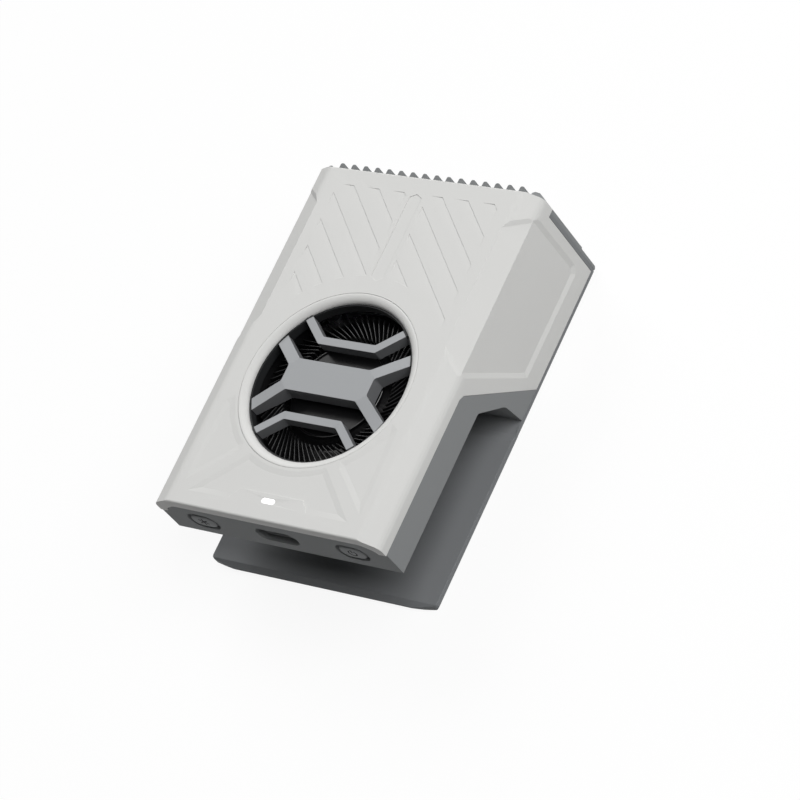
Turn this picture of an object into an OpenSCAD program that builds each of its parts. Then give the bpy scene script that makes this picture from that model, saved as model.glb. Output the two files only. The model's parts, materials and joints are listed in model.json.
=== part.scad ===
// Clip-on thermoelectric cooler for a phone or tablet.
// Millimetres, +Z up. The part rests on its clamp plate, the front face with the
// buttons and the charging socket looks along -Y, and the origin is the middle of
// the footprint at the underside. Lengths along Y are counted from the front face.

/* [Body] */
// Overall width
body_w = 65; // [64:0.5:70]
// Length from the front face to the rear face of the grip wall
body_l = 91; // [90:0.5:96]
// Thickness of the front body above the device slot
front_t = 13.7; // [13.5:0.1:15]
// Clear height of the device slot between plate and body
slot_h = 16; // [14:0.1:18]
// Straight depth of the device slot along its roof
slot_depth = 41; // [40:0.5:43]
// Side walls of cover and base frame
side_t = 2; // [1.6:0.1:2.2]
// Roof of the cover
roof_t = 2.4; // [2.2:0.1:2.5]
// Floor of the base frame
floor_t = 1.6; // [1.4:0.1:2]

/* [Cover] */
// Width of the flat top between the sloping shoulders
top_flat_w = 55.6; // [53:0.2:57]
// Fall of the sloping shoulder from the flat top to the side
shoulder_drop = 2.4; // [1.8:0.1:3]
// Radius where the shoulder turns into the side
shoulder_r = 2.4; // [1.6:0.1:3]
// Height of the cover's seam below the top
seam_drop = 5.5; // [5:0.1:6]
// How far behind the slot's roof the seam turns down
seam_knee_d = 0.2; // [0:0.1:1]
// How far behind the slot's foot the seam meets the underside
seam_foot_d = 8.4; // [7:0.2:9]
// Thickness of the rear lip over the grip wall
lip_t = 1; // [0.8:0.1:1.2]
// How far the rear lip stands out past the grip wall
lip_out = 0.3; // [0.2:0.05:0.4]
// Depth of the recess in each flank
flank_recess_d = 0.45; // [0.3:0.05:0.8]
// Depth of the slanted louvres
louvre_d = 0.12; // [0.1:0.02:0.4]
// Spacing of the louvres along X
louvre_pitch = 7.35; // [6.8:0.05:8]
// Depth of the soft recesses in the top
dish_d = 0.15; // [0.1:0.05:0.4]
// Width of the ramps round the soft recesses
dish_ramp = 1.4; // [0.6:0.1:1.8]
// Depth of the pointed groove between the louvres
groove_d = 0.12; // [0.1:0.02:0.4]
// Width of the ramps round the flank recesses
flank_ramp = 1.2; // [0.8:0.1:1.6]
// Thickness of the cover's cheeks beside the grip wall
cheek_t = 1.3; // [1:0.1:1.6]

/* [Fan] */
// Y of the fan axis
fan_y = 36.5; // [36:0.1:37]
// Radius of the seam between intake ring and cover
ring_r = 23; // [22.8:0.1:23.4]
// Clear radius inside the intake ring
intake_r = 20.9; // [20.6:0.1:21]
// Outer radius of the fan wheel
wheel_r = 20.3; // [19.8:0.1:20.4]
// Radius of the wheel's hub
hub_r = 12.1; // [11.8:0.1:12.6]
// Number of blades on the wheel
blade_count = 73; // [61:1:79]
// Thickness of one blade
blade_t = 0.35; // [0.3:0.01:0.4]
// Radius of the fan shaft
shaft_r = 1; // [0.9:0.05:1.2]

/* [Grille] */
// Thickness of the grille bars
bar_t = 2.9; // [2.4:0.1:3]
// Width of the cross bars
bar_w = 1.95; // [1.6:0.05:2.4]
// Distance of each cross bar from the middle
bar_y = 10; // [9.4:0.1:10.4]
// Half length of the straight middle of a cross bar
bar_half = 7.8; // [7:0.1:8.4]
// Half width of the centre plate between its side edges
plate_half_x = 12.3; // [11.6:0.1:12.6]
// Half depth of the centre plate
plate_half_y = 4.1; // [3.6:0.1:4.4]

/* [Cooling stack] */
// Side of the square cooling module
tec_side = 25; // [23:0.5:26]
// Thickness of one ceramic face of the module
ceramic_t = 0.8; // [0.6:0.05:0.9]
// Height of the semiconductor legs
leg_h = 1.4; // [1.2:0.05:1.6]
// Thickness of the cold plate
cold_t = 3; // [2.6:0.1:3.4]
// Thickness of the soft pad under the cold plate
pad_t = 1; // [0.6:0.1:1.2]
// Y of the middle of the cooling module
tec_y = 25.5; // [25.3:0.1:26]
// Thickness of the heat sink's base
sink_t = 1.5; // [1.3:0.1:1.8]
// Spacing of the heat sink's fins
fin_pitch = 1.6; // [1.4:0.1:2.4]
// Thickness of one fin
fin_t = 0.4; // [0.3:0.05:0.5]

/* [Clamp] */
// Thickness of the clamp plate
plate_t = 1.2; // [1:0.1:1.4]
// Extra thickness of the plate under the device slot
land_t = 0.6; // [0.4:0.1:0.8]
// How far the plate stands out beyond the body at each side of the slot
land_out = 0.2; // [0:0.05:0.4]
// How far the plate stands out in front of the body
plate_lip = 1.3; // [1:0.1:2.4]
// Thickness of the plate's upturned rear leaf
leaf_t = 0.9; // [0.8:0.05:1]
// Thickness of the grip wall between its ribs
grip_t = 0.8; // [0.7:0.05:1]
// Height of the grip ribs above the wall
rib_d = 2.3; // [1.8:0.1:2.6]
// Spacing of the grip ribs
rib_pitch = 3.46; // [3.3:0.02:3.5]
// Number of grip ribs between the corner posts
rib_count = 16; // [14:2:16]
// Thickness of the soft pad on the clamp plate
jaw_pad_t = 3; // [2.4:0.1:3.4]
// Radius of the guide rods
rod_r = 1.5; // [1.3:0.05:1.6]
// Distance of each guide rod from the body's side
rod_in = 11.5; // [11:0.1:12]
// Wire diameter of the return springs
spring_wire = 0.6; // [0.5:0.02:0.65]
// Active turns of a return spring
spring_turns = 7; // [6:1:8]

/* [Front controls] */
// Distance of each button's middle from the body's side
button_in = 11; // [10.5:0.1:11.5]
// Height of the controls above the body's underside
control_h = 5.45; // [5.2:0.05:5.6]
// Width of a button cap
button_w = 7.1; // [6.6:0.1:7.4]
// Height of a button cap
button_h = 4.4; // [4.2:0.1:4.6]
// Width of the groove round a button
button_groove = 0.9; // [0.7:0.05:1]
// Travel of a button
button_travel = 0.4; // [0.3:0.05:0.5]
// Width of the charging socket's shell
usb_w = 8.94; // [8.9:0.01:9]
// Height of the charging socket's shell
usb_h = 3.26; // [3.2:0.01:3.3]
// Length of the indicator window
led_w = 3.8; // [3.4:0.1:4.6]
// Width of the indicator window
led_h = 1.4; // [1.2:0.1:2]

/* [Clearances] */
// Clearance of parts that only fit together
fit = 0.05; // [0.04:0.01:0.08]
// Radial clearance of a part that turns or slides in a bush
running = 0.03; // [0.02:0.005:0.05]
// Gap between the clamp and the body at rest
jaw_gap = 0.1; // [0.08:0.01:0.15]

/* [Hidden] */
$fn = 64;

// Heights
block_z = plate_t + jaw_gap;
belly_z = plate_t + slot_h;
top_z = belly_z + front_t;
seam_z = top_z - seam_drop;
roof_z = top_z - roof_t;
floor_z = belly_z + floor_t;
block_floor_z = block_z + floor_t;
seat_h = 0.5;
sink_z = floor_z + seat_h;
sink_top_z = sink_z + sink_t;
tec_t = 2 * ceramic_t + leg_h;
tec_z = sink_z - tec_t;
cold_z = tec_z - cold_t;
pad_z = cold_z - pad_t;
step_z = top_z - 6.7;
lip_z = top_z - lip_t;
control_z = belly_z + control_h;

// Lengths along Y
front_y = -0.35;
panel_y = front_y + 0.25;
front_in_y = panel_y + 2.3;
shell_clear = 0.1;
grip_y = body_l - grip_t;
leaf_y = grip_y - leaf_t;
wall_hi_y = grip_y - shell_clear;
wall_lo_y = leaf_y - shell_clear;
wall_in_y = wall_lo_y - 1.8;
rib_tip_y = body_l + rib_d;
led_y = 4.55;
mid_y = (rib_tip_y - plate_lip) / 2;
slot_knee_y = slot_depth + 6.6;
slot_foot_y = slot_depth + 7.6;
knee_z = block_z + 7.9;
half_w = body_w / 2;
in_half = half_w - side_t;
rod_x = half_w - rod_in;
button_x = half_w - button_in;
seam_knee_y = slot_depth + seam_knee_d;
seam_foot_y = slot_foot_y + seam_foot_d;
lip_y = body_l + lip_out;

// Small screws
screw_r = 0.9;
screw_head_r = 1.75;
screw_head_h = 1.2;
pilot_r = screw_r - 0.02;
through_r = screw_r + 0.2;
boss_r = 2.4;

function unit(v) = v / norm(v);
function turned(p, a) = [p.x * cos(a) - p.y * sin(a), p.x * sin(a) + p.y * cos(a)];

// One corner of an outline, rounded with radius r in n steps
function corner(a, b, c, r, n) =
    r <= 0 ? [b] :
    let (u = unit(a - b), v = unit(c - b), half = acos(u * v) / 2,
         m = b + unit(u + v) * r / sin(half),
         s = b + u * r / tan(half) - m, e = b + v * r / tan(half) - m,
         way = cross(s, e) > 0 ? 1 : -1)
    [for (i = [0:n]) m + turned(s, way * (180 - 2 * half) * i / n)];

// An outline whose corners are rounded, each with its own radius
function soften(pts, radii, n = 4) =
    let (k = len(pts))
    [for (i = [0:k - 1]) each corner(pts[(i + k - 1) % k], pts[i], pts[(i + 1) % k], radii[i], n)];

function mirrored(pts) = concat(pts, [for (i = [len(pts) - 1:-1:0]) [-pts[i].x, pts[i].y]]);

// Puts a piece whose lengths start at the front face round the middle of the footprint
module placed() {
    translate([0, -mid_y, 0]) children();
}

// An outline in Y and Z, drawn out from x0 to x1
module along_x(x0, x1) {
    translate([x0, 0, 0]) rotate([90, 0, 90]) linear_extrude(x1 - x0) children();
}

// An outline in X and Z, drawn out from y0 to y1
module along_y(y0, y1) {
    translate([0, y1, 0]) rotate([90, 0, 0]) linear_extrude(y1 - y0) children();
}

// An outline in X and Y, drawn out from z0 to z1
module along_z(z0, z1) {
    translate([0, 0, z0]) linear_extrude(z1 - z0) children();
}

module block(x0, x1, y0, y1, z0, z1) {
    translate([x0, y0, z0]) cube([x1 - x0, y1 - y0, z1 - z0]);
}

module post(x, y, r, z0, z1) {
    translate([x, y, z0]) cylinder(r = r, h = z1 - z0);
}

module pill(w, h) {
    square([w - h, h], center = true);
    for (s = [-1, 1]) translate([s * (w - h) / 2, 0]) circle(d = h);
}

module soft_square(half_x, half_y, r) {
    polygon(soften([[-half_x, -half_y], [half_x, -half_y], [half_x, half_y], [-half_x, half_y]],
        [r, r, r, r], 4));
}

// A pill standing in the front wall, its middle at x and at the controls' height
module front_pill(x, w, h, y0, y1) {
    along_y(y0, y1) translate([x, control_z]) pill(w, h);
}

module screw_head_down(x, y, head_z, tip_z) {
    post(x, y, screw_head_r, head_z, head_z + screw_head_h);
    post(x, y, screw_r, head_z + screw_head_h, tip_z);
}

module screw_head_up(x, y, head_z, tip_z) {
    post(x, y, screw_head_r, head_z, head_z + screw_head_h);
    post(x, y, screw_r, tip_z, head_z);
}

// Places that several pieces share
case_screw_x = in_half - boss_r - 0.5;
case_screw_ys = [15.5, slot_depth - 3];
case_rear_y = wall_in_y - boss_r - 2.8;
case_split_z = floor_z + 2.4;
rod_y = wall_in_y - 8.4;
sink_half = in_half - 5.75;
sink_y0 = tec_y - tec_side / 2 - 0.1;
sink_y1 = rod_y - 6;
sink_screw_x = sink_half - 2;
sink_screw_ys = [sink_y0 + 2.7, sink_y1 - 9];
fin_y0 = fan_y + ring_r + 1.9;
fin_half = sink_screw_x - boss_r - 1;
fin_top_z = roof_z - 0.5;
cold_half_x = tec_side / 2 + 6;
cold_half_y = tec_side / 2 + 1;
cold_screw_x = tec_side / 2 + 3.1;
cold_screw_dy = 9;
plinth_gap = 0.3;
plinth_t = 1.5;
bush_r = rod_r + 1.1;
bush_top_z = block_z + 6.7;
cap_z = roof_z - 2.5;
cap_t = 1.6;
cap_r = rod_r + 1.7;

// Cross-section of the cover in X and Z, set in by t at the sides and u at the top
function cover_section(t, u, bottom) =
    mirrored(concat([[half_w - t, bottom]],
        corner([half_w - t, bottom], [half_w - t, top_z - shoulder_drop - u * 0.9],
            [top_flat_w / 2 - t * 0.4, top_z - u], shoulder_r, 4),
        corner([half_w - t, top_z - shoulder_drop - u * 0.9], [top_flat_w / 2 - t * 0.4, top_z - u],
            [0, top_z - u], 4, 3)));

// Side view of the cover in Y and Z
function cover_side() = [[front_y, seam_z],
    each corner([front_y, seam_z], [front_y, top_z], [lip_y, top_z], 0.5, 3),
    each corner([front_y, top_z], [lip_y, top_z], [lip_y, lip_z], 0.4, 3),
    [lip_y, step_z], [wall_lo_y, step_z], [wall_lo_y, block_z], [seam_foot_y, block_z],
    [seam_knee_y, seam_z - 0.7], [seam_knee_y - 1.5, seam_z]];

// Side view of the base frame in Y and Z
function frame_side() = [[panel_y, belly_z], each corner([0, belly_z], [slot_depth, belly_z],
    [slot_knee_y, knee_z], 1.2, 4), each corner([slot_depth, belly_z], [slot_knee_y, knee_z],
    [slot_foot_y, block_z], 3, 4), [slot_foot_y, block_z], [seam_foot_y - fit, block_z],
    [seam_knee_y - fit, seam_z - 0.7 - fit], [seam_knee_y - 1.5, seam_z - fit], [panel_y, seam_z - fit]];

// The louvres: a ramp falls to a sharp step along lines at 45 degrees, within side and rear
// margins and outside an arc round the fan
louvre_in = 3.1;
louvre_out = 23.3;
louvre_rear = body_l - 4.1;
louvre_arc = ring_r + 4.8;

module louvre_field(s) {
    difference() {
        translate([s > 0 ? louvre_in : -louvre_out, fan_y])
            square([louvre_out - louvre_in, louvre_rear - fan_y]);
        translate([0, fan_y]) circle(r = louvre_arc);
    }
}

// One ramp, its sharp edge on the line x + y = c
module louvre_ramp(c) {
    ramp = louvre_pitch / 2 * sqrt(0.5);
    translate([0, c, 0]) rotate([0, 0, -45]) rotate([90, 0, 90]) translate([0, 0, -70])
        linear_extrude(140) polygon([[-ramp, top_z + 0.01], [0, top_z - louvre_d],
            [0, top_z + 0.5], [-ramp, top_z + 0.5]]);
}

module louvres() {
    first = louvre_rear + louvre_out - 5 - 9 * louvre_pitch;
    for (s = [-1, 1]) intersection() {
        along_z(top_z - 2, top_z + 0.4) louvre_field(s);
        union() {
            for (k = [0:9]) louvre_ramp(first + (k + (s > 0 ? 0.5 : 0)) * louvre_pitch);
        }
    }
}

// A recess with ramps along every side of a convex outline, sunk from height 0
module ramped_recess(pts, ramp, depth) {
    k = len(pts);
    intersection_for(i = [0:k - 1]) {
        way = pts[(i + 1) % k] - pts[i];
        translate([pts[i].x, pts[i].y, 0]) rotate([0, 0, atan2(way.y, way.x)]) rotate([90, 0, 90])
            translate([0, 0, -90]) linear_extrude(180)
                polygon([[-ramp, depth], [120, depth], [120, -depth], [ramp, -depth]]);
    }
}

// The pointed bar-shaped recess between the louvres
module centre_groove() {
    half = 1.75;
    y0 = fan_y + 26.6;
    y1 = louvre_rear - 0.1;
    along_z(top_z - groove_d, top_z + 1)
        polygon([[0, y0], [half, y0 + 1], [half, y1 - 0.9], [0, y1], [-half, y1 - 0.9], [-half, y0 + 1]]);
}

// The three soft recesses in front of the fan, a raised tab between the front two corners
dish_arc = ring_r + 2.2;
dish_front = 4.1;
tab_front = 6.4;

// What stays standing round the fan, sloping down to the recesses
module fan_island() {
    rotate_extrude() polygon([[0, -2 * dish_d], [dish_arc + dish_ramp, -2 * dish_d],
        [dish_arc - 2 * dish_ramp, dish_d], [0, dish_d]]);
}

module front_dishes() {
    half = dish_ramp / 2;
    translate([0, 0, top_z]) difference() {
        union() {
            ramped_recess([[-23, dish_front - half], [23, dish_front - half], [0, fan_y - 10.6]],
                dish_ramp, dish_d);
            for (s = [0, 1]) mirror([s, 0, 0]) ramped_recess([[14.3, fan_y - 20.9], [25.2, 5.6], [25.4, 12],
                [24.7, fan_y - 9.2], [10, fan_y]], dish_ramp, dish_d);
        }
        translate([0, fan_y, 0]) fan_island();
        along_z(-2 * dish_d, dish_d)
            polygon([[-12.3, dish_front - 2], [12.3, dish_front - 2], [9, tab_front], [-9, tab_front]]);
    }
}

// The recess in a flank, which runs on over the shoulder as a sloping facet
recess_in_x = top_flat_w / 2 - 1.2;
facet_z = top_z - shoulder_drop - 0.3;
facet_ramp = 4;

module flank_recess(s) {
    x_out = half_w + 1;
    x_in = half_w - flank_recess_d;
    grown = flank_ramp / 2;
    side = [[seam_knee_y - 1.6, top_z + 4], [seam_foot_y + 0.6 - grown, block_z + 5.6 - grown],
        [body_l - 5.8, block_z + 5.4 - grown], [body_l - 4.9 + grown, block_z + 6.7],
        [body_l - 5.1 + grown, top_z + 4]];
    translate([s * half_w, 0, 0]) mirror([s > 0 ? 0 : 1, 0, 0]) rotate([90, 0, 90]) intersection() {
        ramped_recess(side, flank_ramp, flank_recess_d);
        translate([0, 0, -5]) linear_extrude(10) translate([slot_depth - 1, 0]) square([body_l, top_z - 2.4]);
    }
    mirror([s > 0 ? 0 : 1, 0, 0]) intersection() {
        along_y(slot_depth - 1, body_l) polygon([[recess_in_x, top_z + 0.01], [x_in, facet_z],
            [x_out, facet_z], [x_out, top_z + 1], [recess_in_x, top_z + 1]]);
        // The ends slant so that they meet the sinking shoulder along the recess's own corners
        translate([0, 0, top_z]) ramped_recess([[recess_in_x, seam_knee_y + 8.6],
            [x_out + 3, seam_knee_y - 12.1], [x_out + 3, body_l + 6.4], [recess_in_x, body_l - 9.8]],
            facet_ramp, facet_ramp);
    }
}

vent_w = 1.6;
vent_z0 = block_z + 9.7;
vent_z1 = step_z - 1.2;

// Air slots between the grip ribs
module vents(y0, y1) {
    for (k = [1 - rib_count / 2:rib_count / 2 - 1])
        block(k * rib_pitch - vent_w / 2, k * rib_pitch + vent_w / 2, y0, y1, vent_z0, vent_z1);
}

module led_window(grow, z0, z1) {
    along_z(z0, z1) translate([0, led_y]) pill(led_w + 2 * grow, led_h + 2 * grow);
}

module top_shell() {
    color([0.84, 0.84, 0.83]) placed() difference() {
        union() {
            difference() {
                intersection() {
                    along_y(front_y, lip_y) polygon(cover_section(0, 0, 0));
                    along_x(-half_w, half_w) polygon(cover_side());
                }
                along_y(-1, wall_in_y) polygon(cover_section(side_t, roof_t, -1));
            }
            for (s = [-1, 1]) {
                for (y = case_screw_ys) post(s * case_screw_x, y, boss_r, case_split_z + fit, roof_z + 1);
                post(s * case_screw_x, case_rear_y, boss_r, block_floor_z + 2.4 + fit, roof_z + 1);
            }
        }
        post(0, fan_y, ring_r + fit, roof_z - 1, top_z + 1);
        // Room for the grip wall between the cheeks and under the lip
        along_y(wall_hi_y, lip_y + 1) polygon(cover_section(cheek_t, lip_t, step_z - 1));
        louvres();
        centre_groove();
        front_dishes();
        for (s = [-1, 1]) {
            flank_recess(s);
            for (y = case_screw_ys) post(s * case_screw_x, y, pilot_r, case_split_z - 1, case_split_z + 5);
            post(s * case_screw_x, case_rear_y, pilot_r, block_floor_z + 2, block_floor_z + 8);
        }
        vents(wall_in_y - 1, wall_hi_y + 1);
        led_window(fit, roof_z - 1, top_z + 1);
    }
}

// Intake ring: flush with the cover at its seam, rolled over into the opening
grille_flange_t = 1.25;
flange_r = ring_r + 1.6;
roll_h = 1.4;
roll_w = ring_r - fit - intake_r - 0.05;

module fan_ring() {
    color([0.87, 0.87, 0.86]) placed() translate([0, fan_y, 0]) rotate_extrude()
        polygon(concat([[ring_r - fit, roof_z], [ring_r - fit, top_z]],
            [for (i = [0:6]) [intake_r + roll_w * (1 - sin(i * 15)), top_z - roll_h * (1 - cos(i * 15))]],
            [[intake_r, top_z - roll_h - 0.1], [intake_r + 0.45, top_z - roll_h - 0.1],
             [intake_r + 0.45, roof_z]]));
}

// Grille: a flanged rim under the ring, two cross bars and a centre plate on four arms
rim_in_r = intake_r - 0.4;
rim_top_z = top_z - roll_h - 0.15;
bar_top_z = top_z - 1.1;
bar_z = bar_top_z - bar_t;
fold = [2.2, 1.95];

module cross_bar_2d() {
    t = bar_w / 2;
    k = tan(19.5) * t;
    rise = [6.6, 5.6];
    n = unit([rise.y, -rise.x]) * t;
    outer = [[bar_half - k, bar_y + t], [bar_half + rise.x - n.x, bar_y + rise.y - n.y]];
    inner = [[bar_half + rise.x + n.x, bar_y + rise.y + n.y], [bar_half + k, bar_y - t]];
    polygon(soften(mirrored([outer[0], outer[1], inner[0], inner[1]]), [1.2, 0, 0, 0.7, 0.7, 0, 0, 1.2], 4));
}

// Outline of one quarter of the centre plate and the arm that leaves its corner
module arm_2d() {
    polygon(soften([[0, 0], [plate_half_x, 0], [plate_half_x, plate_half_y - fold.y],
        [plate_half_x + 7.2, plate_half_y + 3.7], [plate_half_x + 5.5, plate_half_y + 6.1],
        [plate_half_x - fold.x, plate_half_y], [0, plate_half_y]], [0, 0, 0.8, 0, 0, 1.2, 0], 4));
}

// Everything above the slope that an arm takes from the plate's corner to the rim
module above_arm() {
    run = rim_in_r - norm([plate_half_x - fold.x, plate_half_y]);
    translate([plate_half_x - fold.x, plate_half_y, 0]) rotate([0, 0, atan2(fold.x, fold.y)])
        rotate([90, 0, 0]) translate([0, 0, -10]) linear_extrude(20)
            polygon([[0, top_z], [run + 4, top_z - (top_z - rim_top_z) * (run + 4) / run],
                [run + 4, top_z + 1], [0, top_z + 1]]);
}

module grille() {
    color([0.42, 0.43, 0.44]) placed() translate([0, fan_y, 0]) {
        rotate_extrude() polygon([[rim_in_r, bar_z], [rim_in_r + 0.8, bar_z],
            [rim_in_r + 0.8, roof_z - fit - grille_flange_t], [flange_r, roof_z - fit - grille_flange_t],
            [flange_r, roof_z - fit], [rim_in_r + 0.8, roof_z - fit], [rim_in_r + 0.8, rim_top_z],
            [rim_in_r, rim_top_z]]);
        intersection() {
            post(0, 0, rim_in_r + 0.3, 0, top_z);
            union() {
                along_z(bar_z, bar_top_z) for (s = [0, 1]) mirror([0, s, 0]) cross_bar_2d();
                for (s = [0, 1], q = [0, 1]) mirror([0, s, 0]) mirror([q, 0, 0]) difference() {
                    along_z(bar_z, top_z) arm_2d();
                    above_arm();
                }
            }
        }
    }
}

// Recess, hole and ledge for one button, and the socket's funnel
usb_recess_w = 12;
usb_recess_h = 5.1;
usb_recess_d = 1.5;
button_recess_d = 0.9;
button_clear = 0.15;

module front_cuts() {
    for (s = [-1, 1]) {
        front_pill(s * button_x, button_w + 2 * button_groove, button_h + 2 * button_groove,
            -1, panel_y + button_recess_d);
        front_pill(s * button_x, button_w + 2 * button_clear, button_h + 2 * button_clear,
            -1, front_in_y + 1);
    }
    front_pill(0, usb_recess_w, usb_recess_h, -1, panel_y + usb_recess_d);
    front_pill(0, usb_w + 2 * fit, usb_h + 2 * fit, -1, front_in_y + 1);
}

board_z = control_z - usb_h / 2 - 1;
board_t = 1;
board_half = 26.8;
board_y0 = front_in_y + 0.9 + button_travel + 0.25;
board_y1 = sink_y0 - 0.5;
board_peg_x = 15;
board_peg_y = 10;

module base_frame() {
    color([0.36, 0.37, 0.38]) placed() difference() {
        union() {
            difference() {
                along_x(-half_w, half_w) polygon(frame_side());
                along_x(-in_half, in_half) polygon([[front_in_y, floor_z], [slot_depth + 0.9, floor_z],
                    [slot_knee_y + 1.9, knee_z + 0.4], [slot_foot_y + 1.9, block_floor_z],
                    [body_l, block_floor_z], [body_l, top_z], [front_in_y, top_z]]);
            }
            block(-in_half + fit, in_half - fit, slot_foot_y + 1, wall_in_y - fit, block_z, block_floor_z);
            along_y(panel_y, front_in_y) polygon(cover_section(side_t + fit, roof_t + fit, belly_z));
            // Plinth round the cold plate
            along_z(tec_z - 2.3, belly_z + 0.5) translate([0, tec_y]) difference() {
                soft_square(cold_half_x + plinth_gap + plinth_t, cold_half_y + plinth_gap + plinth_t, 2.5);
                soft_square(cold_half_x + plinth_gap, cold_half_y + plinth_gap, 2);
            }
            for (s = [-1, 1]) {
                for (y = case_screw_ys) post(s * case_screw_x, y, boss_r, floor_z - 0.5, case_split_z);
                post(s * case_screw_x, case_rear_y, boss_r, block_floor_z - 0.5, block_floor_z + 2.4);
                post(s * sink_screw_x, sink_screw_ys[0], boss_r, floor_z - 0.5, sink_z);
                post(s * sink_screw_x, sink_screw_ys[1], boss_r, block_floor_z - 0.5, sink_z);
                post(s * rod_x, rod_y, bush_r + 1.7, block_floor_z - 0.5, bush_top_z - 0.6);
                post(s * board_peg_x, board_peg_y, 2, floor_z - 0.5, board_z);
                post(s * button_x, board_peg_y - 3, 2, floor_z - 0.5, board_z);
            }
        }
        along_z(tec_z - 3, floor_z + 1) translate([0, tec_y])
            soft_square(cold_half_x + plinth_gap, cold_half_y + plinth_gap, 2);
        for (s = [-1, 1]) {
            for (y = case_screw_ys) {
                post(s * case_screw_x, y, screw_head_r + 0.15, belly_z - 1, belly_z + 1.3);
                post(s * case_screw_x, y, through_r, belly_z, case_split_z + 1);
            }
            post(s * case_screw_x, case_rear_y, screw_head_r + 0.15, block_z - 1, block_z + 1.3);
            post(s * case_screw_x, case_rear_y, through_r, block_z, block_floor_z + 3);
            post(s * sink_screw_x, sink_screw_ys[0], pilot_r, floor_z - 1.1, sink_z + 1);
            post(s * sink_screw_x, sink_screw_ys[1], pilot_r, sink_z - 6, sink_z + 1);
            post(s * rod_x, rod_y, bush_r + 0.02, block_z - 1, bush_top_z);
            post(s * board_peg_x, board_peg_y, pilot_r, floor_z - 0.4, board_z + 1);
        }
        front_cuts();
    }
}

module cold_plate() {
    color([0.75, 0.76, 0.78]) placed() difference() {
        along_z(cold_z, tec_z) translate([0, tec_y]) soft_square(cold_half_x, cold_half_y, 1.8);
        for (s = [-1, 1], q = [-1, 1]) {
            post(s * cold_screw_x, tec_y + q * cold_screw_dy, screw_head_r + 0.1, cold_z - 1, cold_z + 1.3);
            post(s * cold_screw_x, tec_y + q * cold_screw_dy, through_r, cold_z, tec_z + 1);
        }
    }
}

module cold_pad() {
    color([0.55, 0.56, 0.58]) placed()
        along_z(pad_z, cold_z) translate([0, tec_y]) soft_square(cold_half_x - 0.8, cold_half_y - 0.8, 1.5);
}

module gasket() {
    color([0.2, 0.2, 0.21]) placed() difference() {
        along_z(tec_z, sink_z) translate([0, tec_y]) difference() {
            soft_square(cold_half_x, cold_half_y, 1.8);
            square([tec_side + 0.4, tec_side + 0.4], center = true);
        }
        for (s = [-1, 1], q = [-1, 1])
            post(s * cold_screw_x, tec_y + q * cold_screw_dy, through_r, tec_z - 1, sink_z + 1);
        block(-3.2, 3.2, tec_y - cold_half_y - 1, tec_y, sink_z - 0.45, sink_z + 1);
    }
}

module ceramic(z0) {
    color([0.93, 0.93, 0.9]) placed() translate([0, tec_y, z0 + ceramic_t / 2])
        cube([tec_side, tec_side, ceramic_t], center = true);
}

module tec_cold_face() { ceramic(tec_z); }

module tec_hot_face() { ceramic(sink_z - ceramic_t); }

module tec_legs() {
    rows = 6;
    pitch = tec_side / (rows + 0.5);
    leg = 1.6;
    color([0.5, 0.5, 0.55]) placed() for (i = [0:rows - 1], j = [0:rows - 1])
        translate([(i - (rows - 1) / 2) * pitch, tec_y + (j - (rows - 1) / 2) * pitch,
            tec_z + ceramic_t + leg_h / 2])
            cube([leg, leg, leg_h], center = true);
}

// Flat lead from the module's hot face to the board
module tec_flex() {
    y1 = tec_y - tec_side / 2;
    color([0.75, 0.5, 0.15]) placed() {
        block(-3, 3, board_y1 - 3, y1, floor_z + 0.05, floor_z + 0.4);
        block(-3, 3, board_y1 - 3, board_y1 - 1, floor_z + 0.05, board_z);
    }
}

fan_screw_x = 13.5;
fan_screw_y = fan_y + 19.9;

module heat_sink() {
    fins = floor(fin_half / fin_pitch);
    color([0.62, 0.63, 0.65]) placed() {
        difference() {
            block(-sink_half, sink_half, sink_y0, sink_y1, sink_z, sink_top_z);
            for (s = [-1, 1]) {
                for (y = sink_screw_ys) post(s * sink_screw_x, y, through_r, sink_z - 1, sink_top_z + 1);
                for (q = [-1, 1])
                    post(s * cold_screw_x, tec_y + q * cold_screw_dy, pilot_r + 0.05,
                        sink_z - 1, sink_top_z + 1);
                post(s * fan_screw_x, fan_screw_y, pilot_r + 0.05, sink_z - 1, sink_top_z + 1);
            }
        }
        for (k = [-fins:fins])
            block(k * fin_pitch - fin_t / 2, k * fin_pitch + fin_t / 2, fin_y0, sink_y1,
                sink_top_z - 0.3, fin_top_z);
    }
}

// Fan housing: a floor with a bearing post, and a wall that opens towards the fins
housing_in_r = wheel_r + 1.1;
housing_r = housing_in_r + 1.4;
housing_floor_z = sink_top_z + 0.8;
housing_top_z = roof_z - fit - grille_flange_t;
sleeve_r = shaft_r + 1.6;
bearing_post_r = sleeve_r + 0.9;
wheel_floor_z = housing_floor_z + 0.6;
wheel_top_z = bar_z - 0.9;
sleeve_top_z = wheel_top_z - 1.6;

module fan_housing() {
    color([0.16, 0.16, 0.17]) placed() difference() {
        union() {
            translate([0, fan_y, 0]) rotate_extrude() polygon([[sleeve_r + 0.02, sink_top_z],
                [housing_r, sink_top_z], [housing_r, housing_top_z], [housing_in_r, housing_top_z],
                [housing_in_r, housing_floor_z], [bearing_post_r, housing_floor_z],
                [bearing_post_r, sleeve_top_z - 0.2], [sleeve_r + 0.02, sleeve_top_z - 0.2]]);
            for (s = [-1, 1]) post(s * fan_screw_x, fan_screw_y, boss_r, sink_top_z, housing_floor_z);
            post(0, fan_y, sleeve_r + 0.5, sink_top_z, sink_top_z + 0.4);
        }
        along_z(housing_floor_z, housing_top_z - 0.8) translate([0, fan_y])
            polygon([[-12, 12], [12, 12], [30, 30], [-30, 30]]);
        for (s = [-1, 1]) post(s * fan_screw_x, fan_screw_y, through_r, sink_top_z - 1, housing_floor_z + 1);
    }
}

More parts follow.
